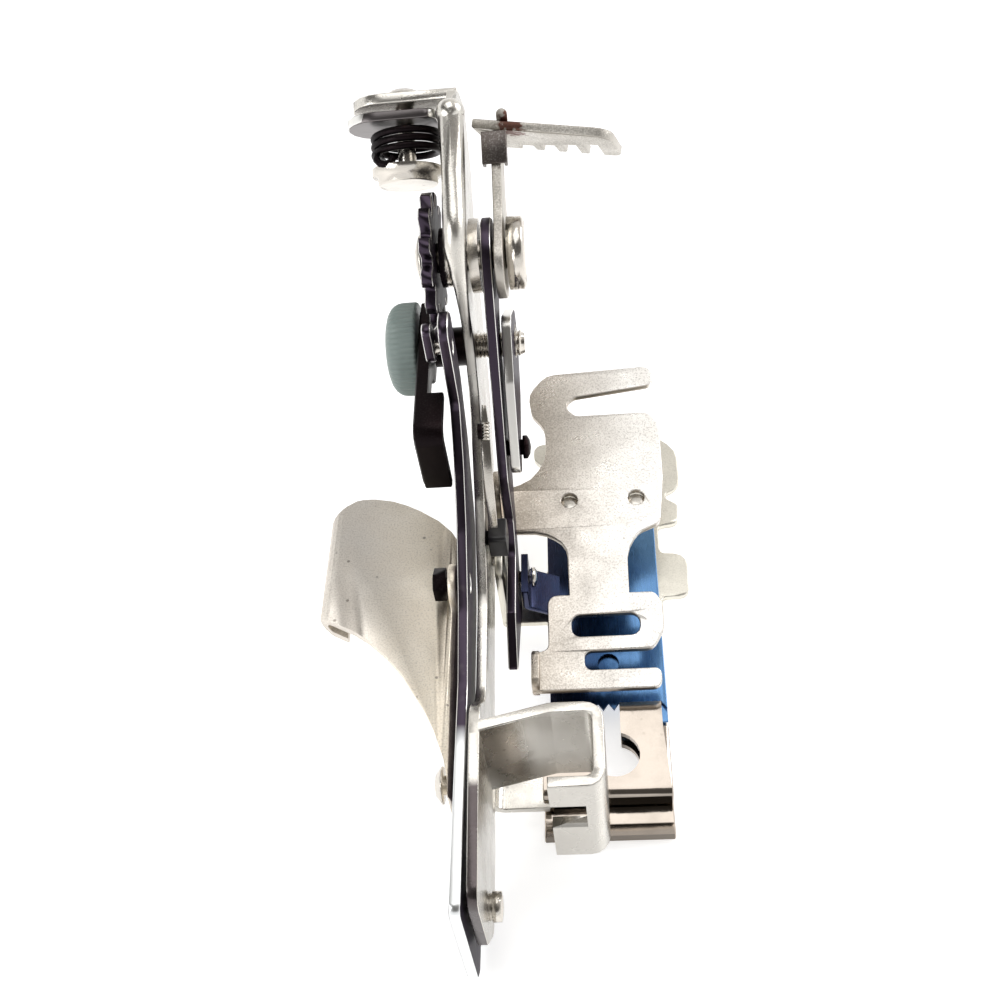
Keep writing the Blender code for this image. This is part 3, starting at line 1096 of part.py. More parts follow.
def make_flange():
    points = [(0, 0, 0), (0, FLANGE_DEPTH, 0)]
    for index, depth_share in enumerate(NOTCH_DEPTH_SHARES):
        middle = FLANGE_WIDTH * (NOTCH_FIRST_SHARE + index * NOTCH_STEP_SHARE)
        depth = FLANGE_DEPTH * depth_share
        left, right = middle - NOTCH_WIDTH / 2, middle + NOTCH_WIDTH / 2
        points += [(left, FLANGE_DEPTH, 0), (left, FLANGE_DEPTH - depth, 0),
                   (right, FLANGE_DEPTH - depth, 0), (right, FLANGE_DEPTH, 0)]
    points += [(FLANGE_WIDTH, FLANGE_DEPTH, CORNER / 2), (FLANGE_WIDTH, 0, CORNER)]
    flange = plate("number_flange", rounded(points[::-1]), FLANGE_SHEET, flange_place())
    share = (FLANGE_X - FLANGE_LEFT_X) / FLANGE_WIDTH
    rear = flange_place() @ Vector((FLANGE_WIDTH * share, 0, 0))
    front = flange_place() @ Vector((FLANGE_WIDTH * share, FLANGE_DEPTH, 0))
    start = (HUB_Y - SPACER_RADIUS, HUB_Z - SPACER_RADIUS)
    size = (front.y - NEEDLE_Y - start[0], rear.z - start[1])
    outline = rounded(in_box(FLANGE_FOOT_OUTLINE_SHARES, start, size, CORNER))
    bore = ring(HUB_Y, HUB_Z, STUD_RADIUS + BORE_GAP)
    foot = plate("flange_foot", outline, FLANGE_SHEET, side_view(FLANGE_X), [bore])
    joined(flange, foot)
    return dress(flange, SATIN)


# Stroke selector: a second plate under the frame's ear, turning on a sprung pin with a
# round cap
SELECTOR_PIN_RADIUS = 1.0 * MM
SELECTOR_SHEET = 1.0 * MM
SELECTOR_GAP = 0.8 * MM
SELECTOR_INNER_REACH = 3.8 * MM
SELECTOR_OUTER_REACH = 6.3 * MM
SPRING_RADIUS = 3.5 * MM
SPRING_WIRE = 0.42 * MM
SPRING_TURNS = 3
SPRING_LENGTH = 3.0 * MM
CAP_RIM_RADIUS = 3.9 * MM
CAP_FACE_RADIUS = 3.3 * MM
CAP_RIM_HEIGHT = 0.8 * MM
CAP_DEPTH = 1.8 * MM
CAP_SOCKET = 1.0 * MM
SELECTOR_HEAD_RADIUS = 2.2 * MM
SELECTOR_HEAD = 1.0 * MM
COIL_STEPS = 12


def make_selector():
    below = -SHEET / 2 - SELECTOR_GAP - SELECTOR_SHEET / 2
    centre = Matrix.Translation((-EAR_PIN_REACH, EAR_DEPTH / 2, 0))
    half = EAR_DEPTH / 2
    lever_points = rounded([(-SELECTOR_OUTER_REACH, -half, half), (SELECTOR_INNER_REACH, -half, half / 3),
                            (SELECTOR_INNER_REACH, half, half / 3), (-SELECTOR_OUTER_REACH, half, half)])
    bore = ring(0, 0, SELECTOR_PIN_RADIUS + BORE_GAP)
    lever = plate("selector_lever", lever_points, SELECTOR_SHEET, ear_place(below) @ centre, [bore])
    dress(lever, DARK_STEEL)
    spring_top = below - SELECTOR_SHEET / 2 - SEAT_GAP - SPRING_WIRE
    spring_low = spring_top - SPRING_LENGTH
    steps = SPRING_TURNS * COIL_STEPS
    place = ear_place(0) @ centre
    helix = []
    for step in range(steps + 1):
        angle = 2 * math.pi * step / COIL_STEPS
        helix.append(place @ Vector((SPRING_RADIUS * math.cos(angle), SPRING_RADIUS * math.sin(angle),
                                     spring_top - SPRING_LENGTH * step / steps)))
    spring = dress(wire("selector_spring", helix, SPRING_WIRE), BLACK_STEEL)
    cap_top = spring_low - SPRING_WIRE - SEAT_GAP
    top = SHEET / 2 + SEAT_GAP
    pin_end = cap_top - CAP_SOCKET + SEAT_GAP
    profile = [(0, top + SELECTOR_HEAD), (SELECTOR_HEAD_RADIUS * 2 / 3, top + SELECTOR_HEAD * 3 / 4),
               (SELECTOR_HEAD_RADIUS, top + SELECTOR_HEAD / 4), (SELECTOR_HEAD_RADIUS, top),
               (SELECTOR_PIN_RADIUS, top), (SELECTOR_PIN_RADIUS, pin_end), (0, pin_end)]
    pin = dress(turned("selector_pin", profile, place), NICKEL)
    inner = SELECTOR_PIN_RADIUS + BORE_GAP
    cap_profile = [(0, cap_top - CAP_SOCKET), (inner, cap_top - CAP_SOCKET), (inner, cap_top),
                   (CAP_RIM_RADIUS, cap_top), (CAP_RIM_RADIUS, cap_top - CAP_RIM_HEIGHT),
                   (CAP_FACE_RADIUS, cap_top - CAP_RIM_HEIGHT - EDGE_ROUND),
                   (CAP_FACE_RADIUS, cap_top - CAP_DEPTH + EDGE_ROUND),
                   (CAP_FACE_RADIUS - EDGE_ROUND, cap_top - CAP_DEPTH), (0, cap_top - CAP_DEPTH)]
    cap = dress(turned("selector_cap", cap_profile, place, FINE_SIDES), NICKEL)
    pivoted(lever, place.translation)
    return lever, spring, pin, cap


def make_neck_rivets():
    for name, y, z in (("neck_rivet", NECK_RIVET_Y, NECK_RIVET_Z),
                       ("under_rivet", UNDER_RIVET_Y, UNDER_RIVET_Z)):
        rivet = headed_pin(name, FRAME_LEFT + EDGE_ROUND, NECK_X + GUIDE_SHEET / 2 - EDGE_ROUND, y, z,
                           NECK_RIVET_RADIUS, (0, 0, 0), (0, 0, 0), COARSE_SIDES)
        dress(rivet, NICKEL)


clear_scene()
PIECES = new_collection("ruffler_foot")
make_frame()
make_foot()
make_separator_blade()
make_ruffling_blade()
make_guide()
make_under_guide()
make_drive_lever()
make_pivot_pin()
make_wing()
make_wing_fixings()
make_wheel()
make_hub()
make_pawl()
make_carrier()
make_drive_pin()
make_stop_block()
make_adjuster()
make_flange()
make_selector()
make_neck_rivets()
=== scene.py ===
"""The look of the ruffler foot: finishes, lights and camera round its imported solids.

Sizes and places are in millimetres, and MM brings them to metres.
"""
import json
import math

import bmesh
import bpy
from mathutils import Matrix, Vector


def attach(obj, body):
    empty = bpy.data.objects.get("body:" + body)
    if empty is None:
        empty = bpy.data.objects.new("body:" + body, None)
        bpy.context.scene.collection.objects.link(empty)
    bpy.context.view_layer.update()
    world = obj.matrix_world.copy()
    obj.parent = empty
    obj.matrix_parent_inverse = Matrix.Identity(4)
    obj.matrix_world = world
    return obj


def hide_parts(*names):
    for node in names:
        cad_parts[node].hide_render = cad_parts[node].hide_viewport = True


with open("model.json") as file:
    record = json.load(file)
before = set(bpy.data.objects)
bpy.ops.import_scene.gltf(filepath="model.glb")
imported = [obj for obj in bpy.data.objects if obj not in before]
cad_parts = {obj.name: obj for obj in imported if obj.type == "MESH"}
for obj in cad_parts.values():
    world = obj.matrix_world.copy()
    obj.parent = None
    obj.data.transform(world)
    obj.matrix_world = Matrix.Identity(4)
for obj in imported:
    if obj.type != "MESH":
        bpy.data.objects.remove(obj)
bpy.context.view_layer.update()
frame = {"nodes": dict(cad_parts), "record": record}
MM = 0.001

# Camera: it stands over the tail of the foot and looks down along it, as a person holding the
# foot by its clamp would see it.
EYE_PLACE = Vector((2.09, -61.83, 127.41))
EYE_RIGHT = (0.99512, 0.01477, -0.09757)
EYE_UP = (0.05177, 0.76362, 0.64359)
EYE_BACK = (0.08402, -0.64550, 0.75912)
eye = bpy.data.objects.new("camera", bpy.data.cameras.new("camera"))
eye.data.lens = 45.5
eye.data.sensor_width = 36.0
eye.data.clip_start = 5 * MM
eye_turn = Matrix((EYE_RIGHT, EYE_UP, EYE_BACK)).transposed().to_4x4()
eye.matrix_world = Matrix.Translation(EYE_PLACE * MM) @ eye_turn
bpy.context.scene.collection.objects.link(eye)
bpy.context.scene.camera = eye
bpy.context.scene.view_settings.view_transform = "Standard"

# Table: a white sheet that runs far past the foot. It stays white to the eye and in the
# metal, and takes the foot's soft shadow.
TABLE_HALF, TABLE_DROP = 1500, 0.05
SHEET_PAINT, SHEET_GLOW = (0.86, 0.86, 0.86, 1), 0.62


def new_material(name):
    """A material made of nodes, and its node tree."""
    finish = bpy.data.materials.new(name)
    finish.use_nodes = True
    return finish, finish.node_tree


def shader_node(tree, kind, values=None, links=None, **settings):
    """One shader node, with its own settings and the values and links of its sockets."""
    added = tree.nodes.new("ShaderNode" + kind)
    for setting, choice in settings.items():
        setattr(added, setting, choice)
    for socket, value in (values or {}).items():
        added.inputs[socket].default_value = value
    for socket, source in (links or {}).items():
        tree.links.new(source, added.inputs[socket])
    return added


def maths(tree, operation, *terms):
    """The result of a sum; each term is a number or the output of another node."""
    added = shader_node(tree, "Math", operation=operation)
    for place, term in enumerate(terms):
        if isinstance(term, (int, float)):
            added.inputs[place].default_value = term
        else:
            tree.links.new(term, added.inputs[place])
    return added.outputs["Value"]


table_shape = bmesh.new()
bmesh.ops.create_grid(table_shape, x_segments=1, y_segments=1, size=TABLE_HALF * MM)
bmesh.ops.translate(table_shape, verts=table_shape.verts, vec=(0, 0, -TABLE_DROP * MM))
table_mesh = bpy.data.meshes.new("table")
table_shape.to_mesh(table_mesh)
table_shape.free()
table = bpy.data.objects.new("table", table_mesh)
bpy.context.scene.collection.objects.link(table)
white_sheet, sheet_tree = new_material("white_sheet")
sheet_tree.nodes.clear()
seen_by = shader_node(sheet_tree, "LightPath").outputs
shown = maths(sheet_tree, "MAXIMUM", seen_by["Is Camera Ray"], seen_by["Is Glossy Ray"])
shown = maths(sheet_tree, "MAXIMUM", shown, seen_by["Is Transmission Ray"])
sheet_paint = shader_node(sheet_tree, "BsdfDiffuse", {"Color": SHEET_PAINT})
sheet_strength = maths(sheet_tree, "MULTIPLY", shown, SHEET_GLOW)
sheet_glow = shader_node(sheet_tree, "Emission", links={"Strength": sheet_strength})
sheet_sum = shader_node(sheet_tree, "AddShader",
                        links={0: sheet_paint.outputs["BSDF"], 1: sheet_glow.outputs["Emission"]})
shader_node(sheet_tree, "OutputMaterial", links={"Surface": sheet_sum.outputs["Shader"]})
table_mesh.materials.append(white_sheet)

# Lights: a room with white walls and a darker ceiling, darkest behind the camera, and soft boxes
# over the foot, so that bright plating shows both light and dark.
WALL_WHITE = (1, 1, 1)
WALL_TOP = (0.34, 0.52)
CEILING_LEAN = (0.35, 0.65, 0.25)
CEILING_TONES = ((0.0, (0.10, 0.095, 0.09)), (0.30, (0.36, 0.345, 0.33)), (0.70, (0.74, 0.72, 0.70)))
SOFT_BOXES = (
    # name, place in mm, aim in mm, side in mm, watts
    ("box_right", (105, 90, 110), (2, 25, 15), 80, 0.075),
    ("box_over", (-20, 60, 230), (0, 25, 20), 150, 0.10),
    ("box_left", (-150, -60, 120), (-18, 10, 12), 100, 0.11),
)


def spread(tree, value, low, high, to_low=0.0, to_high=1.0, interpolation="LINEAR"):
    """Stretch a value from the range low to high over the range to_low to to_high."""
    limits = {"From Min": low, "From Max": high, "To Min": to_low, "To Max": to_high}
    added = shader_node(tree, "MapRange", limits, {"Value": value}, interpolation_type=interpolation)
    return added.outputs["Result"]


def blended(tree, share, first, second):
    """A colour between two; each is a colour or the output of another node."""
    added = shader_node(tree, "Mix", links={"Factor": share}, data_type="RGBA")
    for socket, colour in (("A", first), ("B", second)):
        if isinstance(colour, tuple):
            added.inputs[socket].default_value = (*colour, 1)
        else:
            tree.links.new(colour, added.inputs[socket])
    return added.outputs["Result"]


def toned(tree, value, tones, interpolation="LINEAR"):
    """The colour at a value on a scale of tones: rows of (place, colour), lowest first."""
    scale = shader_node(tree, "ValToRGB", links={"Fac": value})
    ramp = scale.color_ramp
    ramp.interpolation = interpolation
    for end, (place, colour) in ((0, tones[0]), (1, tones[-1])):
        ramp.elements[end].position = place
        ramp.elements[end].color = (*colour, 1)
    for place, colour in tones[1:-1]:
        ramp.elements.new(place).color = (*colour, 1)
    return scale.outputs["Color"]


room = bpy.data.worlds.new("room")
bpy.context.scene.world = room
room.use_nodes = True
room_tree = room.node_tree
room_way = shader_node(room_tree, "TexCoord").outputs["Generated"]
room_height = shader_node(room_tree, "SeparateXYZ", links={"Vector": room_way}).outputs["Z"]
ceiling_lean = shader_node(room_tree, "VectorMath", {1: CEILING_LEAN}, {0: room_way},
                           operation="DOT_PRODUCT")
ceiling = toned(room_tree, ceiling_lean.outputs["Value"], CEILING_TONES)
ceiling_share = spread(room_tree, room_height, *WALL_TOP, interpolation="SMOOTHSTEP")
room_tree.links.new(blended(room_tree, ceiling_share, WALL_WHITE, ceiling),
                    room_tree.nodes["Background"].inputs["Color"])
for name, place, aim, side, watts in SOFT_BOXES:
    lamp = bpy.data.lights.new(name, "AREA")
    lamp.size = side * MM
    lamp.energy = watts
    box = bpy.data.objects.new(name, lamp)
    box.location = Vector(place) * MM
    box.rotation_euler = (Vector(aim) - Vector(place)).to_track_quat("-Z", "Y").to_euler()
    bpy.context.scene.collection.objects.link(box)

# Frame: one piece of folded sheet steel, blanked and nickel plated. The plating is bright
# and uneven, with a fine grain and small dark pits.
BODY_OF = {node: body for body, nodes in frame["record"]["behaviour"]["bodies"].items() for node in nodes}
WELD = 0.0005
# Patterns of the plating: how many to the metre, where each starts and is full, and its shade.
CLOUD_SIZE, CLOUD_BAND, CLOUD_SHADE = 300, (0.40, 0.75), 0.72
SPECK_SIZE, SPECK_BAND, SPECK_SHADE, SPECK_DEPTH = 5200, (0.48, 0.72), 0.45, 0.035
GLINT_BAND, GLINT = (0.50, 0.28), (0.95, 0.93, 0.88)
PIT_SIZE, PIT_BAND = 480, (0.06, 0.11)
WAVE_SIZE, WAVE_STRENGTH, WAVE_DEPTH = 520, 0.30, 0.08
SHINE_BAND = (0.3, 0.7)
# How squarely a face looks along an axis before it takes that side's painted shade.
FACE_BAND, EDGE_BAND = (0.75, 0.95), (0.45, 0.35)
# A painted dark reflection on the sheared edges of a tail, and how fully it covers them.
PAINTED_DARK_REFLECTION, DARK_REFLECTION_SHARE = (0.055, 0.038, 0.045), 0.9


def grained(tree, spot, size, detail):
    """An even noise over a surface, with size as its count to the metre."""
    return shader_node(tree, "TexNoise", {"Scale": size, "Detail": detail}, {"Vector": spot}).outputs["Fac"]


def shaded(colour, share):
    """A colour dulled to a share of its light."""
    return tuple(part * share for part in colour)


def bumped(tree, height, strength, depth, under=None):
    """Small dents of a depth in mm, on top of those of another bump."""
    links = {"Height": height}
    if under is not None:
        links["Normal"] = under
    return shader_node(tree, "Bump", {"Strength": strength, "Distance": depth * MM}, links).outputs["Normal"]


def plated_steel(name, colour, roughness, grain=0.3, pits=0.3, far_colour=None, across=(-20, 6),
                 pit_colour=(0.20, 0.17, 0.14), painted_side_shade=1.0, painted_front_reflection=1.0, front_matte=0.0,
                 cloud=0.5, tail_end=None, tail_side=None):
    """Plating on sheet steel: cloudy, grained and pitted, with an optional change of tone in X,
    which is painted light on the upper guide and the wing.

    painted_side_shade darkens the faces that look along X with a painted shade, and painted_front_reflection
    darkens those that look along -Y with a painted dark reflection.
    front_matte takes the mirror shine off the faces that look along -Y. Behind tail_end along Y,
    and left of tail_side along X, the sheared edges take a painted dark reflection.
    """
    finish, tree = new_material(name)
    steel = tree.nodes["Principled BSDF"].inputs
    steel["Metallic"].default_value = 1
    spot = shader_node(tree, "TexCoord").outputs
    place = shader_node(tree, "SeparateXYZ", links={"Vector": spot["Object"]}).outputs
    facing = shader_node(tree, "SeparateXYZ", links={"Vector": spot["Normal"]}).outputs
    sideways = maths(tree, "ABSOLUTE", facing["X"])
    clouds = grained(tree, spot["Object"], CLOUD_SIZE, 5)
    specks = grained(tree, spot["Object"], SPECK_SIZE, 2)
    dents = shader_node(tree, "TexVoronoi", {"Scale": PIT_SIZE}, {"Vector": spot["Object"]})
    forward = maths(tree, "MULTIPLY", facing["Y"], -1)
    layers = [
        # where the layer lies, and its colour
        (spread(tree, clouds, *CLOUD_BAND, 0, cloud), shaded(colour, CLOUD_SHADE)),
        (spread(tree, specks, *SPECK_BAND, 0, grain * 0.55), shaded(colour, SPECK_SHADE)),
        (spread(tree, specks, *GLINT_BAND, 0, grain * 0.45), GLINT),
        (spread(tree, dents.outputs["Distance"], *PIT_BAND, pits, 0), pit_colour),
        # painted shade on the faces that look along X
        (spread(tree, sideways, *FACE_BAND), shaded(colour, painted_side_shade)),
        # painted dark reflection on the faces that look along -Y
        (spread(tree, forward, *FACE_BAND), shaded(colour, painted_front_reflection)),
    ]
    # the sheared edges of the tail: a painted dark reflection
    if tail_end is not None:
        tail = spread(tree, place["Y"], (tail_end + 1) * MM, tail_end * MM)
        left = spread(tree, place["X"], tail_side * MM, (tail_side - 0.5) * MM)
        sheared = spread(tree, sideways, *EDGE_BAND, 0, DARK_REFLECTION_SHARE)
        layers.append((maths(tree, "MULTIPLY", maths(tree, "MULTIPLY", tail, left), sheared), PAINTED_DARK_REFLECTION))
    reach = spread(tree, place["X"], across[0] * MM, across[1] * MM)
    tone = blended(tree, reach, colour, far_colour or colour)
    for share, layer_colour in layers:
        tone = blended(tree, share, tone, layer_colour)
    tree.links.new(tone, steel["Base Color"])
    if front_matte:
        tree.links.new(spread(tree, forward, *FACE_BAND, 1, 1 - front_matte), steel["Metallic"])
    tree.links.new(spread(tree, clouds, *SHINE_BAND, roughness * 0.8, roughness * 1.3), steel["Roughness"])
    waves = bumped(tree, grained(tree, spot["Object"], WAVE_SIZE, 1), WAVE_STRENGTH, WAVE_DEPTH)
    tree.links.new(bumped(tree, specks, min(1, grain), SPECK_DEPTH, waves), steel["Normal"])
    return finish


def placed(shape, name, finish, body, crease=50):
    """Turn a bmesh into a visible piece that rides on a body; edges past crease stay sharp."""
    bmesh.ops.recalc_face_normals(shape, faces=shape.faces)
    mesh = bpy.data.meshes.new(name)
    shape.to_mesh(mesh)
    shape.free()
    mesh.materials.clear()
    mesh.materials.append(finish)
    mesh.shade_smooth()
    mesh.set_sharp_from_angle(angle=math.radians(crease))
    piece = bpy.data.objects.new(name, mesh)
    bpy.context.scene.collection.objects.link(piece)
    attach(piece, body)
    return piece


def fitted(shape, node, finish, crease=40, flat=True):
    """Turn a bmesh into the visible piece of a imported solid, on that solid's body."""
    piece = placed(shape, node + "_piece", finish, BODY_OF[node], crease)
    if flat:
        piece.modifiers.new("flats", "WEIGHTED_NORMAL").keep_sharp = True
    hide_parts(node)


def finished(node, finish, crease=40, flat=True):
    """The piece itself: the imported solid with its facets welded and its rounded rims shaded."""
    shape = bmesh.new()
    shape.from_mesh(frame["nodes"][node].data)
    bmesh.ops.remove_doubles(shape, verts=shape.verts, dist=WELD * MM)
    fitted(shape, node, finish, crease, flat)


# The frame's faces that look along X take a painted shade, and the sheared edges of its tail a painted dark
# reflection.
bright_nickel = plated_steel("bright_nickel", (0.80, 0.77, 0.71), roughness=0.26, grain=0.35, pits=0.4,
                             painted_side_shade=0.66, front_matte=0.7, tail_end=-5, tail_side=-9.5)
finished("frame", bright_nickel)

# Foot plate and sole: thin pressed plates, polished before plating, so they mirror the room
# with a slight orange peel.
# Their faces that look along -Y take a painted dark reflection.
polished_nickel = plated_steel("polished_nickel", (0.52, 0.46, 0.40), roughness=0.10, grain=0.05,
                               pits=0.15, painted_front_reflection=0.35)
finished("foot_plate", polished_nickel, crease=25)
finished("sole_plate", polished_nickel, crease=25)

# Blades: spring steel blued by heat. The temper colour runs from navy at the left edge to
# sky blue at the right, along the rolling marks.
BLADE_LEFT, BLADE_RIGHT = -5.5, 7.7
BLUES = ((0.15, (0.045, 0.050, 0.10)), (0.62, (0.028, 0.070, 0.16)), (1.0, (0.13, 0.27, 0.50)))
ROLLING_MARKS, ROLLING_DEPTH, ROLLING_SHINE = (5200, 260, 260), 0.01, (0.18, 0.34)
BLOTCH_SIZE, BLOTCH_SHARE = 900, 0.35
blued_steel, blue_tree = new_material("blued_steel")
blue = blue_tree.nodes["Principled BSDF"].inputs
blue["Metallic"].default_value = 1
blue_spot = shader_node(blue_tree, "TexCoord").outputs["Object"]
blue_across = shader_node(blue_tree, "SeparateXYZ", links={"Vector": blue_spot}).outputs["X"]
blue_reach = spread(blue_tree, blue_across, BLADE_LEFT * MM, BLADE_RIGHT * MM)
blue_blotch = grained(blue_tree, blue_spot, BLOTCH_SIZE, 4)
blue_temper = maths(blue_tree, "MULTIPLY_ADD", blue_blotch, BLOTCH_SHARE, blue_reach)
blue_tree.links.new(toned(blue_tree, blue_temper, BLUES), blue["Base Color"])
rolled_way = shader_node(blue_tree, "Mapping", {"Scale": ROLLING_MARKS}, {"Vector": blue_spot})
rolling = grained(blue_tree, rolled_way.outputs["Vector"], 1, 4)
blue_tree.links.new(spread(blue_tree, rolling, 0, 1, *ROLLING_SHINE), blue["Roughness"])
blue_tree.links.new(bumped(blue_tree, rolling, 0.25, ROLLING_DEPTH), blue["Normal"])
finished("separator_blade", blued_steel)
finished("ruffling_blade", blued_steel)

# Guides: stamped plates with a satin nickel finish, grainy like fine sandpaper. Two cups that
# the press has sunk close the dimples of the upper one.
DIMPLES = {"guide_dimple_left": (-2.42, 36.80, 10.08), "guide_dimple_right": (5.63, 36.77, 10.07)}
DIMPLE_RADIUS, DIMPLE_RISE = 1.06, 0.28
# The upper guide runs to near white at its right side: a painted highlight.
satin_nickel = plated_steel("satin_nickel", (0.50, 0.44, 0.37), roughness=0.31, grain=0.8, pits=0.2,
                            far_colour=(0.97, 0.95, 0.91), across=(-8, 6), cloud=0.12)
cream_nickel = plated_steel("cream_nickel", (0.80, 0.77, 0.68), roughness=0.34, grain=0.4, pits=0.2)
finished("separator_guide", satin_nickel)
finished("under_guide", cream_nickel)
for name, place in DIMPLES.items():
    cup = bmesh.new()
    bmesh.ops.create_uvsphere(cup, u_segments=40, v_segments=16, radius=DIMPLE_RADIUS * MM)
    bmesh.ops.scale(cup, verts=cup.verts, vec=(1, 1, DIMPLE_RISE / DIMPLE_RADIUS))
    bmesh.ops.translate(cup, verts=cup.verts, vec=Vector(place) * MM)
    placed(cup, name, bright_nickel, BODY_OF["separator_guide"], crease=180)

# Drive lever, blade carrier, wheel and pawl: blanked plates darkened to a purple brown. Their
# eased rims are worn back to bright steel, and so is the lever's tail.
DARK_FACE, DARK_EDGE, WORN_RIM = (0.040, 0.031, 0.046), (0.060, 0.046, 0.066), (0.95, 0.94, 0.90)
RIM_START, FACE_START, SHEARED_BAND = 0.40, 0.93, (0.93, 0.88)
WEAR_SIZE, WEAR_DEPTH, SCUFF_BAND, SCUFF_SHARE, SCUFF = 620, 0.02, (0.60, 0.72), 0.08, (0.33, 0.30, 0.28)
TAIL_STEEL, TAIL_FADE = (0.88, 0.90, 0.90), 2.5


def dark_plate(name, edge=DARK_EDGE, tail_end=None):
    """Darkened sheet with bright rims; behind tail_end (mm along Y) its sheared edge is bright."""
    finish, tree = new_material(name)
    steel = tree.nodes["Principled BSDF"].inputs
    spot = shader_node(tree, "TexCoord").outputs
    facing = shader_node(tree, "SeparateXYZ", links={"Vector": spot["Normal"]}).outputs
    sideways = maths(tree, "ABSOLUTE", facing["X"])
    wear = grained(tree, spot["Object"], WEAR_SIZE, 5)
    tone = toned(tree, sideways, ((0, edge), (RIM_START, WORN_RIM), (FACE_START, DARK_FACE)), "CONSTANT")
    tone = blended(tree, spread(tree, wear, *SCUFF_BAND, 0, SCUFF_SHARE), tone, SCUFF)
    sheared = spread(tree, sideways, *SHEARED_BAND)
    if tail_end is not None:
        place = shader_node(tree, "SeparateXYZ", links={"Vector": spot["Object"]}).outputs
        tail = spread(tree, place["Y"], (tail_end + TAIL_FADE) * MM, tail_end * MM)
        tone = blended(tree, maths(tree, "MULTIPLY", tail, sheared), tone, TAIL_STEEL)
    tree.links.new(tone, steel["Base Color"])
    tree.links.new(sheared, steel["Metallic"])
    steel["Roughness"].default_value = 0.30
    steel["Specular IOR Level"].default_value = 0.01
    tree.links.new(bumped(tree, wear, 0.5, WEAR_DEPTH), steel["Normal"])
    return finish


purple_plate = dark_plate("purple_plate")
finished("drive_lever", dark_plate("lever_plate", tail_end=0.0))
for plate in ("blade_carrier", "pawl", "ratchet_wheel"):
    finished(plate, purple_plate)
finished("slotted_plate", dark_plate("bright_edged", edge=(0.80, 0.78, 0.74)))

# Pins, rivets and the hub: turned from bar and nickel plated, with heads that were spun over
# when the foot was put together.
turned_nickel = plated_steel("turned_nickel", (0.70, 0.66, 0.60), roughness=0.20, grain=0.25, pits=0.5)
for pin in ("pivot_pin", "wing_rivet", "hub_stud", "hub_spacer", "pawl_pin", "drive_pin",
            "selector_pin", "selector_cap", "neck_rivet", "under_rivet"):
    finished(pin, turned_nickel)

# Needle clamp wing: sheet steel in a warm satin grey, pitted from handling, its free edge
# rolled under.
# Its colour runs to a light cream towards the right, where the light falls: painted light.
wing_satin = plated_steel("wing_satin", (0.76, 0.71, 0.64), roughness=0.46, grain=0.6, pits=0.7,
                          far_colour=(1.0, 0.91, 0.76), across=(-26, -17), cloud=0.1)
finished("needle_clamp_wing", wing_satin, flat=False)

# Black fixings: blackened steel with brown where the finish has worn, and the black nylon
# stop block.
black_steel = plated_steel("black_steel", (0.012, 0.009, 0.010), roughness=0.42, grain=0.02, pits=0.5,
                           far_colour=(0.020, 0.009, 0.009), pit_colour=(0.07, 0.03, 0.02))
for fixing in ("wing_screw", "slotted_rivet", "adjusting_bracket", "bracket_bush"):
    finished(fixing, black_steel)
black_nylon, nylon_tree = new_material("black_nylon")
nylon = nylon_tree.nodes["Principled BSDF"].inputs
nylon["Base Color"].default_value = (0.014, 0.013, 0.014, 1)
nylon["Roughness"].default_value = 0.35
finished("stop_block", black_nylon)

# Adjusting knob: moulded in grey-green plastic with a domed face. Fine straight ribs run round
# its rim and fade out towards the face.
KNOB_CENTRE = (44.2017, 29.9976)
KNOB_RIBS, RIB_DEPTH, RIB_FACETS = 52, 0.17, 6
RIB_START, RIB_FADE, RIB_INNER = -21.4, 0.9, 4.3
SCREW_BORE = 1.62
PLASTIC_DARK, PLASTIC_LIGHT, PLASTIC_SIZE, PLASTIC_DEPTH = (0.20, 0.255, 0.24), (0.29, 0.35, 0.33), 500, 0.02
KNOB_PROFILE = (
    # place along X, radius; from the face to the blind bore
    (-21.85, 0), (-21.83, 1.2), (-21.75, 2.4), (-21.60, 3.4), (-21.35, 4.2), (-21.00, 4.75),
    (-20.65, 5.03), (-20.30, 5.20), (-19.90, 5.28), (-19.50, 5.3), (-18.90, 5.3), (-18.30, 5.3),
    (-18.10, 5.22), (-18.02, 5.0), (-18.0, 4.6), (-18.0, SCREW_BORE), (-21.3, SCREW_BORE), (-21.3, 0),
)


def turned(profile, centre, steps):
    """Spin a profile of (place along X, radius) round an axis that lies along X."""
    shape = bmesh.new()
    rim = [shape.verts.new((x * MM, (centre[0] + radius) * MM, centre[1] * MM)) for x, radius in profile]
    line = [shape.edges.new(pair) for pair in zip(rim, rim[1:])]
    bmesh.ops.spin(shape, geom=rim + line, cent=(0, centre[0] * MM, centre[1] * MM), axis=(1, 0, 0),
                   dvec=(0, 0, 0), angle=math.tau, steps=steps, use_merge=True)
    bmesh.ops.remove_doubles(shape, verts=shape.verts, dist=0.002 * MM)
    return shape


def reshaped(shape, centre, depth_at):
    """Press each point of a turned shape in by depth_at(place along X, radius, angle), in mm."""
    axis = Vector(centre) * MM
    for point in shape.verts:
        arm = Vector(point.co.yz) - axis
        if arm.length > 0.5 * MM:
            depth = depth_at(point.co.x / MM, arm.length / MM, math.atan2(arm.y, arm.x))
            arm -= arm.normalized() * depth * MM
            point.co.yz = axis + arm


def rib_depth(place, radius, angle):
    """Depth of the knob's ribs: full on the rim, none on the face or in the bore."""
    fade = min(1, max(0, (place - RIB_START) / RIB_FADE)) if radius > RIB_INNER else 0
    return RIB_DEPTH * fade * (0.5 - 0.5 * math.cos(KNOB_RIBS * angle))


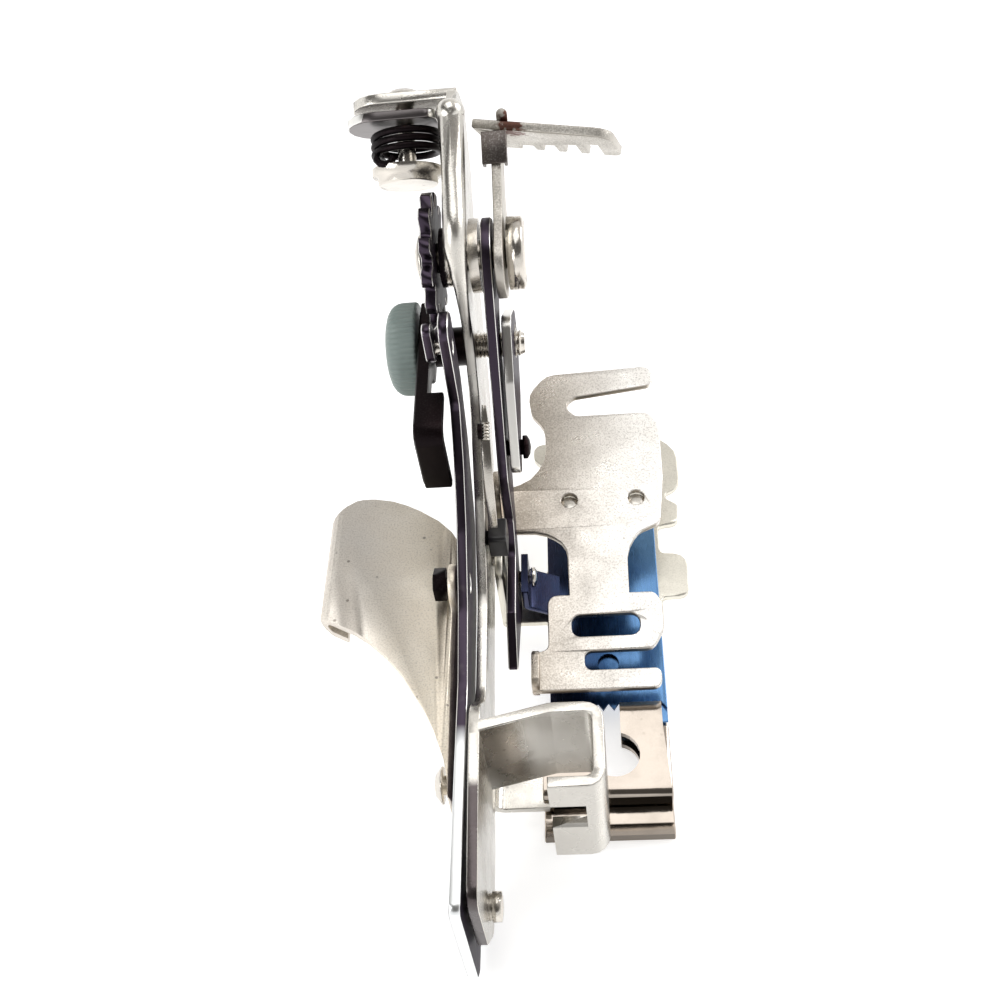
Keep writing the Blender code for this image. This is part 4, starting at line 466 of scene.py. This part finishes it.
grey_green, plastic_tree = new_material("grey_green")
plastic = plastic_tree.nodes["Principled BSDF"].inputs
plastic_spot = shader_node(plastic_tree, "TexCoord").outputs["Object"]
plastic_clouds = grained(plastic_tree, plastic_spot, PLASTIC_SIZE, 4)
plastic_tone = blended(plastic_tree, plastic_clouds, PLASTIC_DARK, PLASTIC_LIGHT)
plastic_tree.links.new(plastic_tone, plastic["Base Color"])
plastic_tree.links.new(bumped(plastic_tree, plastic_clouds, 0.3, PLASTIC_DEPTH), plastic["Normal"])
plastic["Roughness"].default_value = 0.42
knob = turned(KNOB_PROFILE, KNOB_CENTRE, KNOB_RIBS * RIB_FACETS)
reshaped(knob, KNOB_CENTRE, rib_depth)
fitted(knob, "adjusting_knob", grey_green, crease=55, flat=False)

# Adjusting screw: a machine screw moulded into the knob. Its thread shows where it leaves the
# frame and the slotted plate.
SCREW_RADIUS, THREAD_PITCH, THREAD_DEPTH, THREAD_RINGS = 1.5, 0.4, 0.22, 8
SHANK_START, THREAD_START, THREAD_END, SCREW_TIP, TIP_RADIUS = -21.0, -12.4, -6.55, -6.2, 1.1
SCREW_SIDES = 48
ring_count = int((THREAD_END - THREAD_START) / THREAD_PITCH * THREAD_RINGS)
thread_places = [THREAD_START + THREAD_PITCH / THREAD_RINGS * step for step in range(ring_count)]


def thread_depth(place, radius, angle):
    """Depth of a right-hand thread, which starts softly at the shank."""
    if radius < SCREW_RADIUS - THREAD_DEPTH or not THREAD_START < place < THREAD_END:
        return 0
    turn_share = (place / THREAD_PITCH + angle / math.tau) % 1
    return THREAD_DEPTH * abs(2 * turn_share - 1) * min(1, (place - THREAD_START) / THREAD_PITCH)


screw = turned([(SHANK_START, 0), (SHANK_START, SCREW_RADIUS)]
               + [(place, SCREW_RADIUS) for place in thread_places]
               + [(THREAD_END, SCREW_RADIUS - THREAD_DEPTH / 2), (SCREW_TIP, TIP_RADIUS), (SCREW_TIP, 0)],
               KNOB_CENTRE, SCREW_SIDES)
reshaped(screw, KNOB_CENTRE, thread_depth)
fitted(screw, "adjusting_screw", turned_nickel, crease=55, flat=False)

# Number flange: satin nickel sheet with stroke notches. It has rusted beside its fold, where a
# small lug and a stop tab are folded out of it.
RUST_SPOT, RUST_BROWN = (-5.9, 58.3, 49.3), (0.11, 0.028, 0.014)
RUST_START, RUST_EDGE, RUST_RAGGED, RUST_SIZE, RUST_SHARE = 3.0, 3.5, 3.2, 1600, 0.9
LUG_PLACE = Vector((-8.0, 56.4, 49.5))
LUG_DOWN = Vector((0, -0.764, -0.645))
LUG_OUT = Vector((0, -0.645, 0.764))
LUG_WIDTH, LUG_LENGTH, LUG_DEPTH, LUG_SHEET, LUG_EASE = 2.7, 3.5, 1.5, 0.35, 0.08
TAB_PLACE = Vector((-7.1, 58.7, 49.5))
TAB_WIDTH, TAB_HEIGHT, TAB_SHEET, TAB_EASE, TAB_STEPS = 1.2, 1.5, 0.5, 0.1, 12
ACROSS = Vector((1, 0, 0))


def blank(name, outline, run, finish, body, ease):
    """A closed outline pushed along a run, with its edges eased."""
    shape = bmesh.new()
    face = shape.faces.new([shape.verts.new(point * MM) for point in outline])
    pushed = bmesh.ops.extrude_face_region(shape, geom=[face])["geom"]
    bmesh.ops.translate(shape, verts=[item for item in pushed if isinstance(item, bmesh.types.BMVert)],
                        vec=run * MM)
    bmesh.ops.recalc_face_normals(shape, faces=shape.faces)
    creases = [edge for edge in shape.edges if edge.calc_face_angle() > math.radians(40)]
    bmesh.ops.bevel(shape, geom=creases, offset=ease * MM, offset_type="OFFSET", segments=2, profile=0.5,
                    affect="EDGES", material=-1, clamp_overlap=True)
    placed(shape, name, finish, body)


flange_satin = plated_steel("flange_satin", (0.56, 0.53, 0.48), roughness=0.42, grain=0.9, pits=0.6)
flange_tree = flange_satin.node_tree
flange_colour = flange_tree.nodes["Principled BSDF"].inputs["Base Color"]
rust_place = shader_node(flange_tree, "TexCoord").outputs["Object"]
rust_reach = shader_node(flange_tree, "VectorMath", {1: Vector(RUST_SPOT) * MM}, {0: rust_place},
                         operation="DISTANCE")
rust_grain = grained(flange_tree, rust_place, RUST_SIZE, 4)
rust_edge = maths(flange_tree, "MULTIPLY_ADD", rust_grain, RUST_RAGGED * MM, rust_reach.outputs["Value"])
rust_cover = spread(flange_tree, rust_edge, RUST_START * MM, RUST_EDGE * MM, RUST_SHARE, 0)
clean_tone = flange_colour.links[0].from_socket
flange_tree.links.new(blended(flange_tree, rust_cover, clean_tone, RUST_BROWN), flange_colour)
finished("number_flange", flange_satin)
half, inner = LUG_WIDTH / 2, LUG_WIDTH / 2 - LUG_SHEET
lug_section = ((-half, 0), (-half, LUG_DEPTH), (half, LUG_DEPTH), (half, 0), (inner, 0),
               (inner, LUG_DEPTH - LUG_SHEET), (-inner, LUG_DEPTH - LUG_SHEET), (-inner, 0))
lug_outline = [LUG_PLACE + ACROSS * x + LUG_OUT * (out - LUG_DEPTH / 2) for x, out in lug_section]
lug_steel = plated_steel("lug_steel", (0.15, 0.13, 0.12), roughness=0.35, grain=0.4, pits=0.3)
blank("flange_lug", lug_outline, LUG_DOWN * LUG_LENGTH, lug_steel,
      BODY_OF["number_flange"], LUG_EASE)
tab_round = TAB_WIDTH / 2
tab_turns = [math.pi * step / TAB_STEPS for step in range(TAB_STEPS + 1)]
tab_arc = [(tab_round * math.cos(turn), TAB_HEIGHT - tab_round + tab_round * math.sin(turn))
           for turn in tab_turns]
tab_section = [(tab_round, 0)] + tab_arc + [(-tab_round, 0)]
blank("flange_tab", [TAB_PLACE + Vector((x, 0, z)) for x, z in tab_section], Vector((0, -TAB_SHEET, 0)),
      flange_satin, BODY_OF["number_flange"], TAB_EASE)

# Selector lever: a second plate under the frame's ear, blanked and darkened like the drive lever.
# It turns about the sprung pin.
finished("selector_lever", dark_plate("grey_plate", edge=(0.17, 0.155, 0.155)))

# Selector spring: black wire in three close turns between the plate and the sprung cap. Its
# end hangs out at the side in an open loop.
SPRING_AXIS = Vector((0, 0.7431448, 0.6691306))
SPRING_FRONT = Vector((0, -0.6691306, 0.7431448))
SPRING_FOOT = Vector((-17.7, 60.0, 51.2))
SPRING_RADIUS, WIRE_RADIUS = 3.5, 0.40
SPRING_TOP, COIL_PITCH, COIL_TURNS, COIL_STEPS = -3.1, 0.86, 2.62, 40
LOOP_POINTS = (
    # across X, along the axis, to the front: the wire's end below the last turn
    (-2.9, -5.75, 2.6), (-2.9, -6.25, 2.9), (-2.5, -6.70, 3.1), (-1.9, -6.85, 3.2), (-1.3, -6.60, 3.2),
    (-1.05, -6.10, 3.1),
)


def wound(start, end, radius, front, turns, steps):
    """Points of a wire that winds round the line from start to end, beginning at the X side."""
    last = round(turns * steps)
    return [start.lerp(end, step / last) + ACROSS * radius * math.cos(math.tau * step / steps)
            + front * radius * math.sin(math.tau * step / steps) for step in range(last + 1)]


def wire_shape(route, radius):
    """Round wire along a route of points in mm, as a closed bmesh."""
    curve = bpy.data.curves.new("wire_route", "CURVE")
    curve.dimensions = "3D"
    curve.bevel_depth = radius * MM
    curve.bevel_resolution = 4
    curve.use_fill_caps = True
    spline = curve.splines.new("POLY")
    spline.points.add(len(route) - 1)
    for point, place in zip(spline.points, route):
        point.co = (*place * MM, 1)
    holder = bpy.data.objects.new("wire_route", curve)
    bpy.context.scene.collection.objects.link(holder)
    bpy.context.view_layer.update()
    mesh = bpy.data.meshes.new_from_object(holder)
    bpy.data.objects.remove(holder)
    shape = bmesh.new()
    shape.from_mesh(mesh)
    bmesh.ops.remove_doubles(shape, verts=shape.verts, dist=0.001 * MM)
    return shape


coil_count = int(COIL_TURNS * COIL_STEPS)
coil_top = SPRING_FOOT + SPRING_AXIS * SPRING_TOP
coil_end = coil_top - SPRING_AXIS * COIL_PITCH * coil_count / COIL_STEPS
wire_route = wound(coil_top, coil_end, SPRING_RADIUS, SPRING_FRONT, coil_count / COIL_STEPS, COIL_STEPS)
wire_route += [SPRING_FOOT + ACROSS * x + SPRING_AXIS * along + SPRING_FRONT * ahead
               for x, along, ahead in LOOP_POINTS]
fitted(wire_shape(wire_route, WIRE_RADIUS), "selector_spring", black_steel, crease=60, flat=False)

# Return spring: a leaf that stands on the stop block between the frame and the carrier. Its upper
# end is wound with a few turns of wire on a black stub, with a short strip above them.
STRIP_TOP = Vector((-10.62, 34.4, 30.25))
COIL_TOP = Vector((-10.62, 32.9, 29.0))
LEAF_TOP = Vector((-10.62, 31.5, 27.85))
LEAF_BEND = Vector((-10.56, 28.8, 24.9))
LEAF_FOOT = Vector((-10.55, 26.1, 19.2))
LEAF_WIDTH, LEAF_SHEET, LEAF_EASE = 1.0, 0.25, 0.05
STRIP_HALVES = (0.22, 0.42)
RETURN_RADIUS, RETURN_WIRE, RETURN_TURNS, RETURN_STEPS = 0.38, 0.13, 5, 16
STUB_RADIUS, STUB_START, STUB_END, STUB_SIDES = 0.9, -11.4, -10.9, 32
STUB_PROFILE = ((STUB_START, 0), (STUB_START, STUB_RADIUS), (STUB_END - LEAF_EASE, STUB_RADIUS),
                (STUB_END, STUB_RADIUS - LEAF_EASE), (STUB_END, 0))
return_axis = (LEAF_TOP - COIL_TOP).normalized()
sheet_run = return_axis.cross(ACROSS).normalized() * LEAF_SHEET
return_front = ACROSS.cross(return_axis)
return_route = wound(COIL_TOP, LEAF_TOP, RETURN_RADIUS, return_front, RETURN_TURNS, RETURN_STEPS)
return_wire = wire_shape(return_route, RETURN_WIRE)
placed(return_wire, "return_spring_coil", turned_nickel, "root", crease=60)
stub = turned(STUB_PROFILE, COIL_TOP.lerp(LEAF_TOP, 0.5).yz, STUB_SIDES)
placed(stub, "return_spring_stub", black_steel, "root")
strip_outline = [STRIP_TOP + ACROSS * STRIP_HALVES[0], COIL_TOP + ACROSS * STRIP_HALVES[1],
                 COIL_TOP - ACROSS * STRIP_HALVES[1], STRIP_TOP - ACROSS * STRIP_HALVES[0]]
blank("return_spring_strip", strip_outline, sheet_run, turned_nickel, "root", LEAF_EASE)
leaf_line = [point - ACROSS * LEAF_WIDTH / 2 for point in (LEAF_TOP, LEAF_BEND, LEAF_FOOT)]
blank("return_spring_leaf", leaf_line + [point + sheet_run for point in reversed(leaf_line)],
      ACROSS * LEAF_WIDTH, turned_nickel, "root", LEAF_EASE)
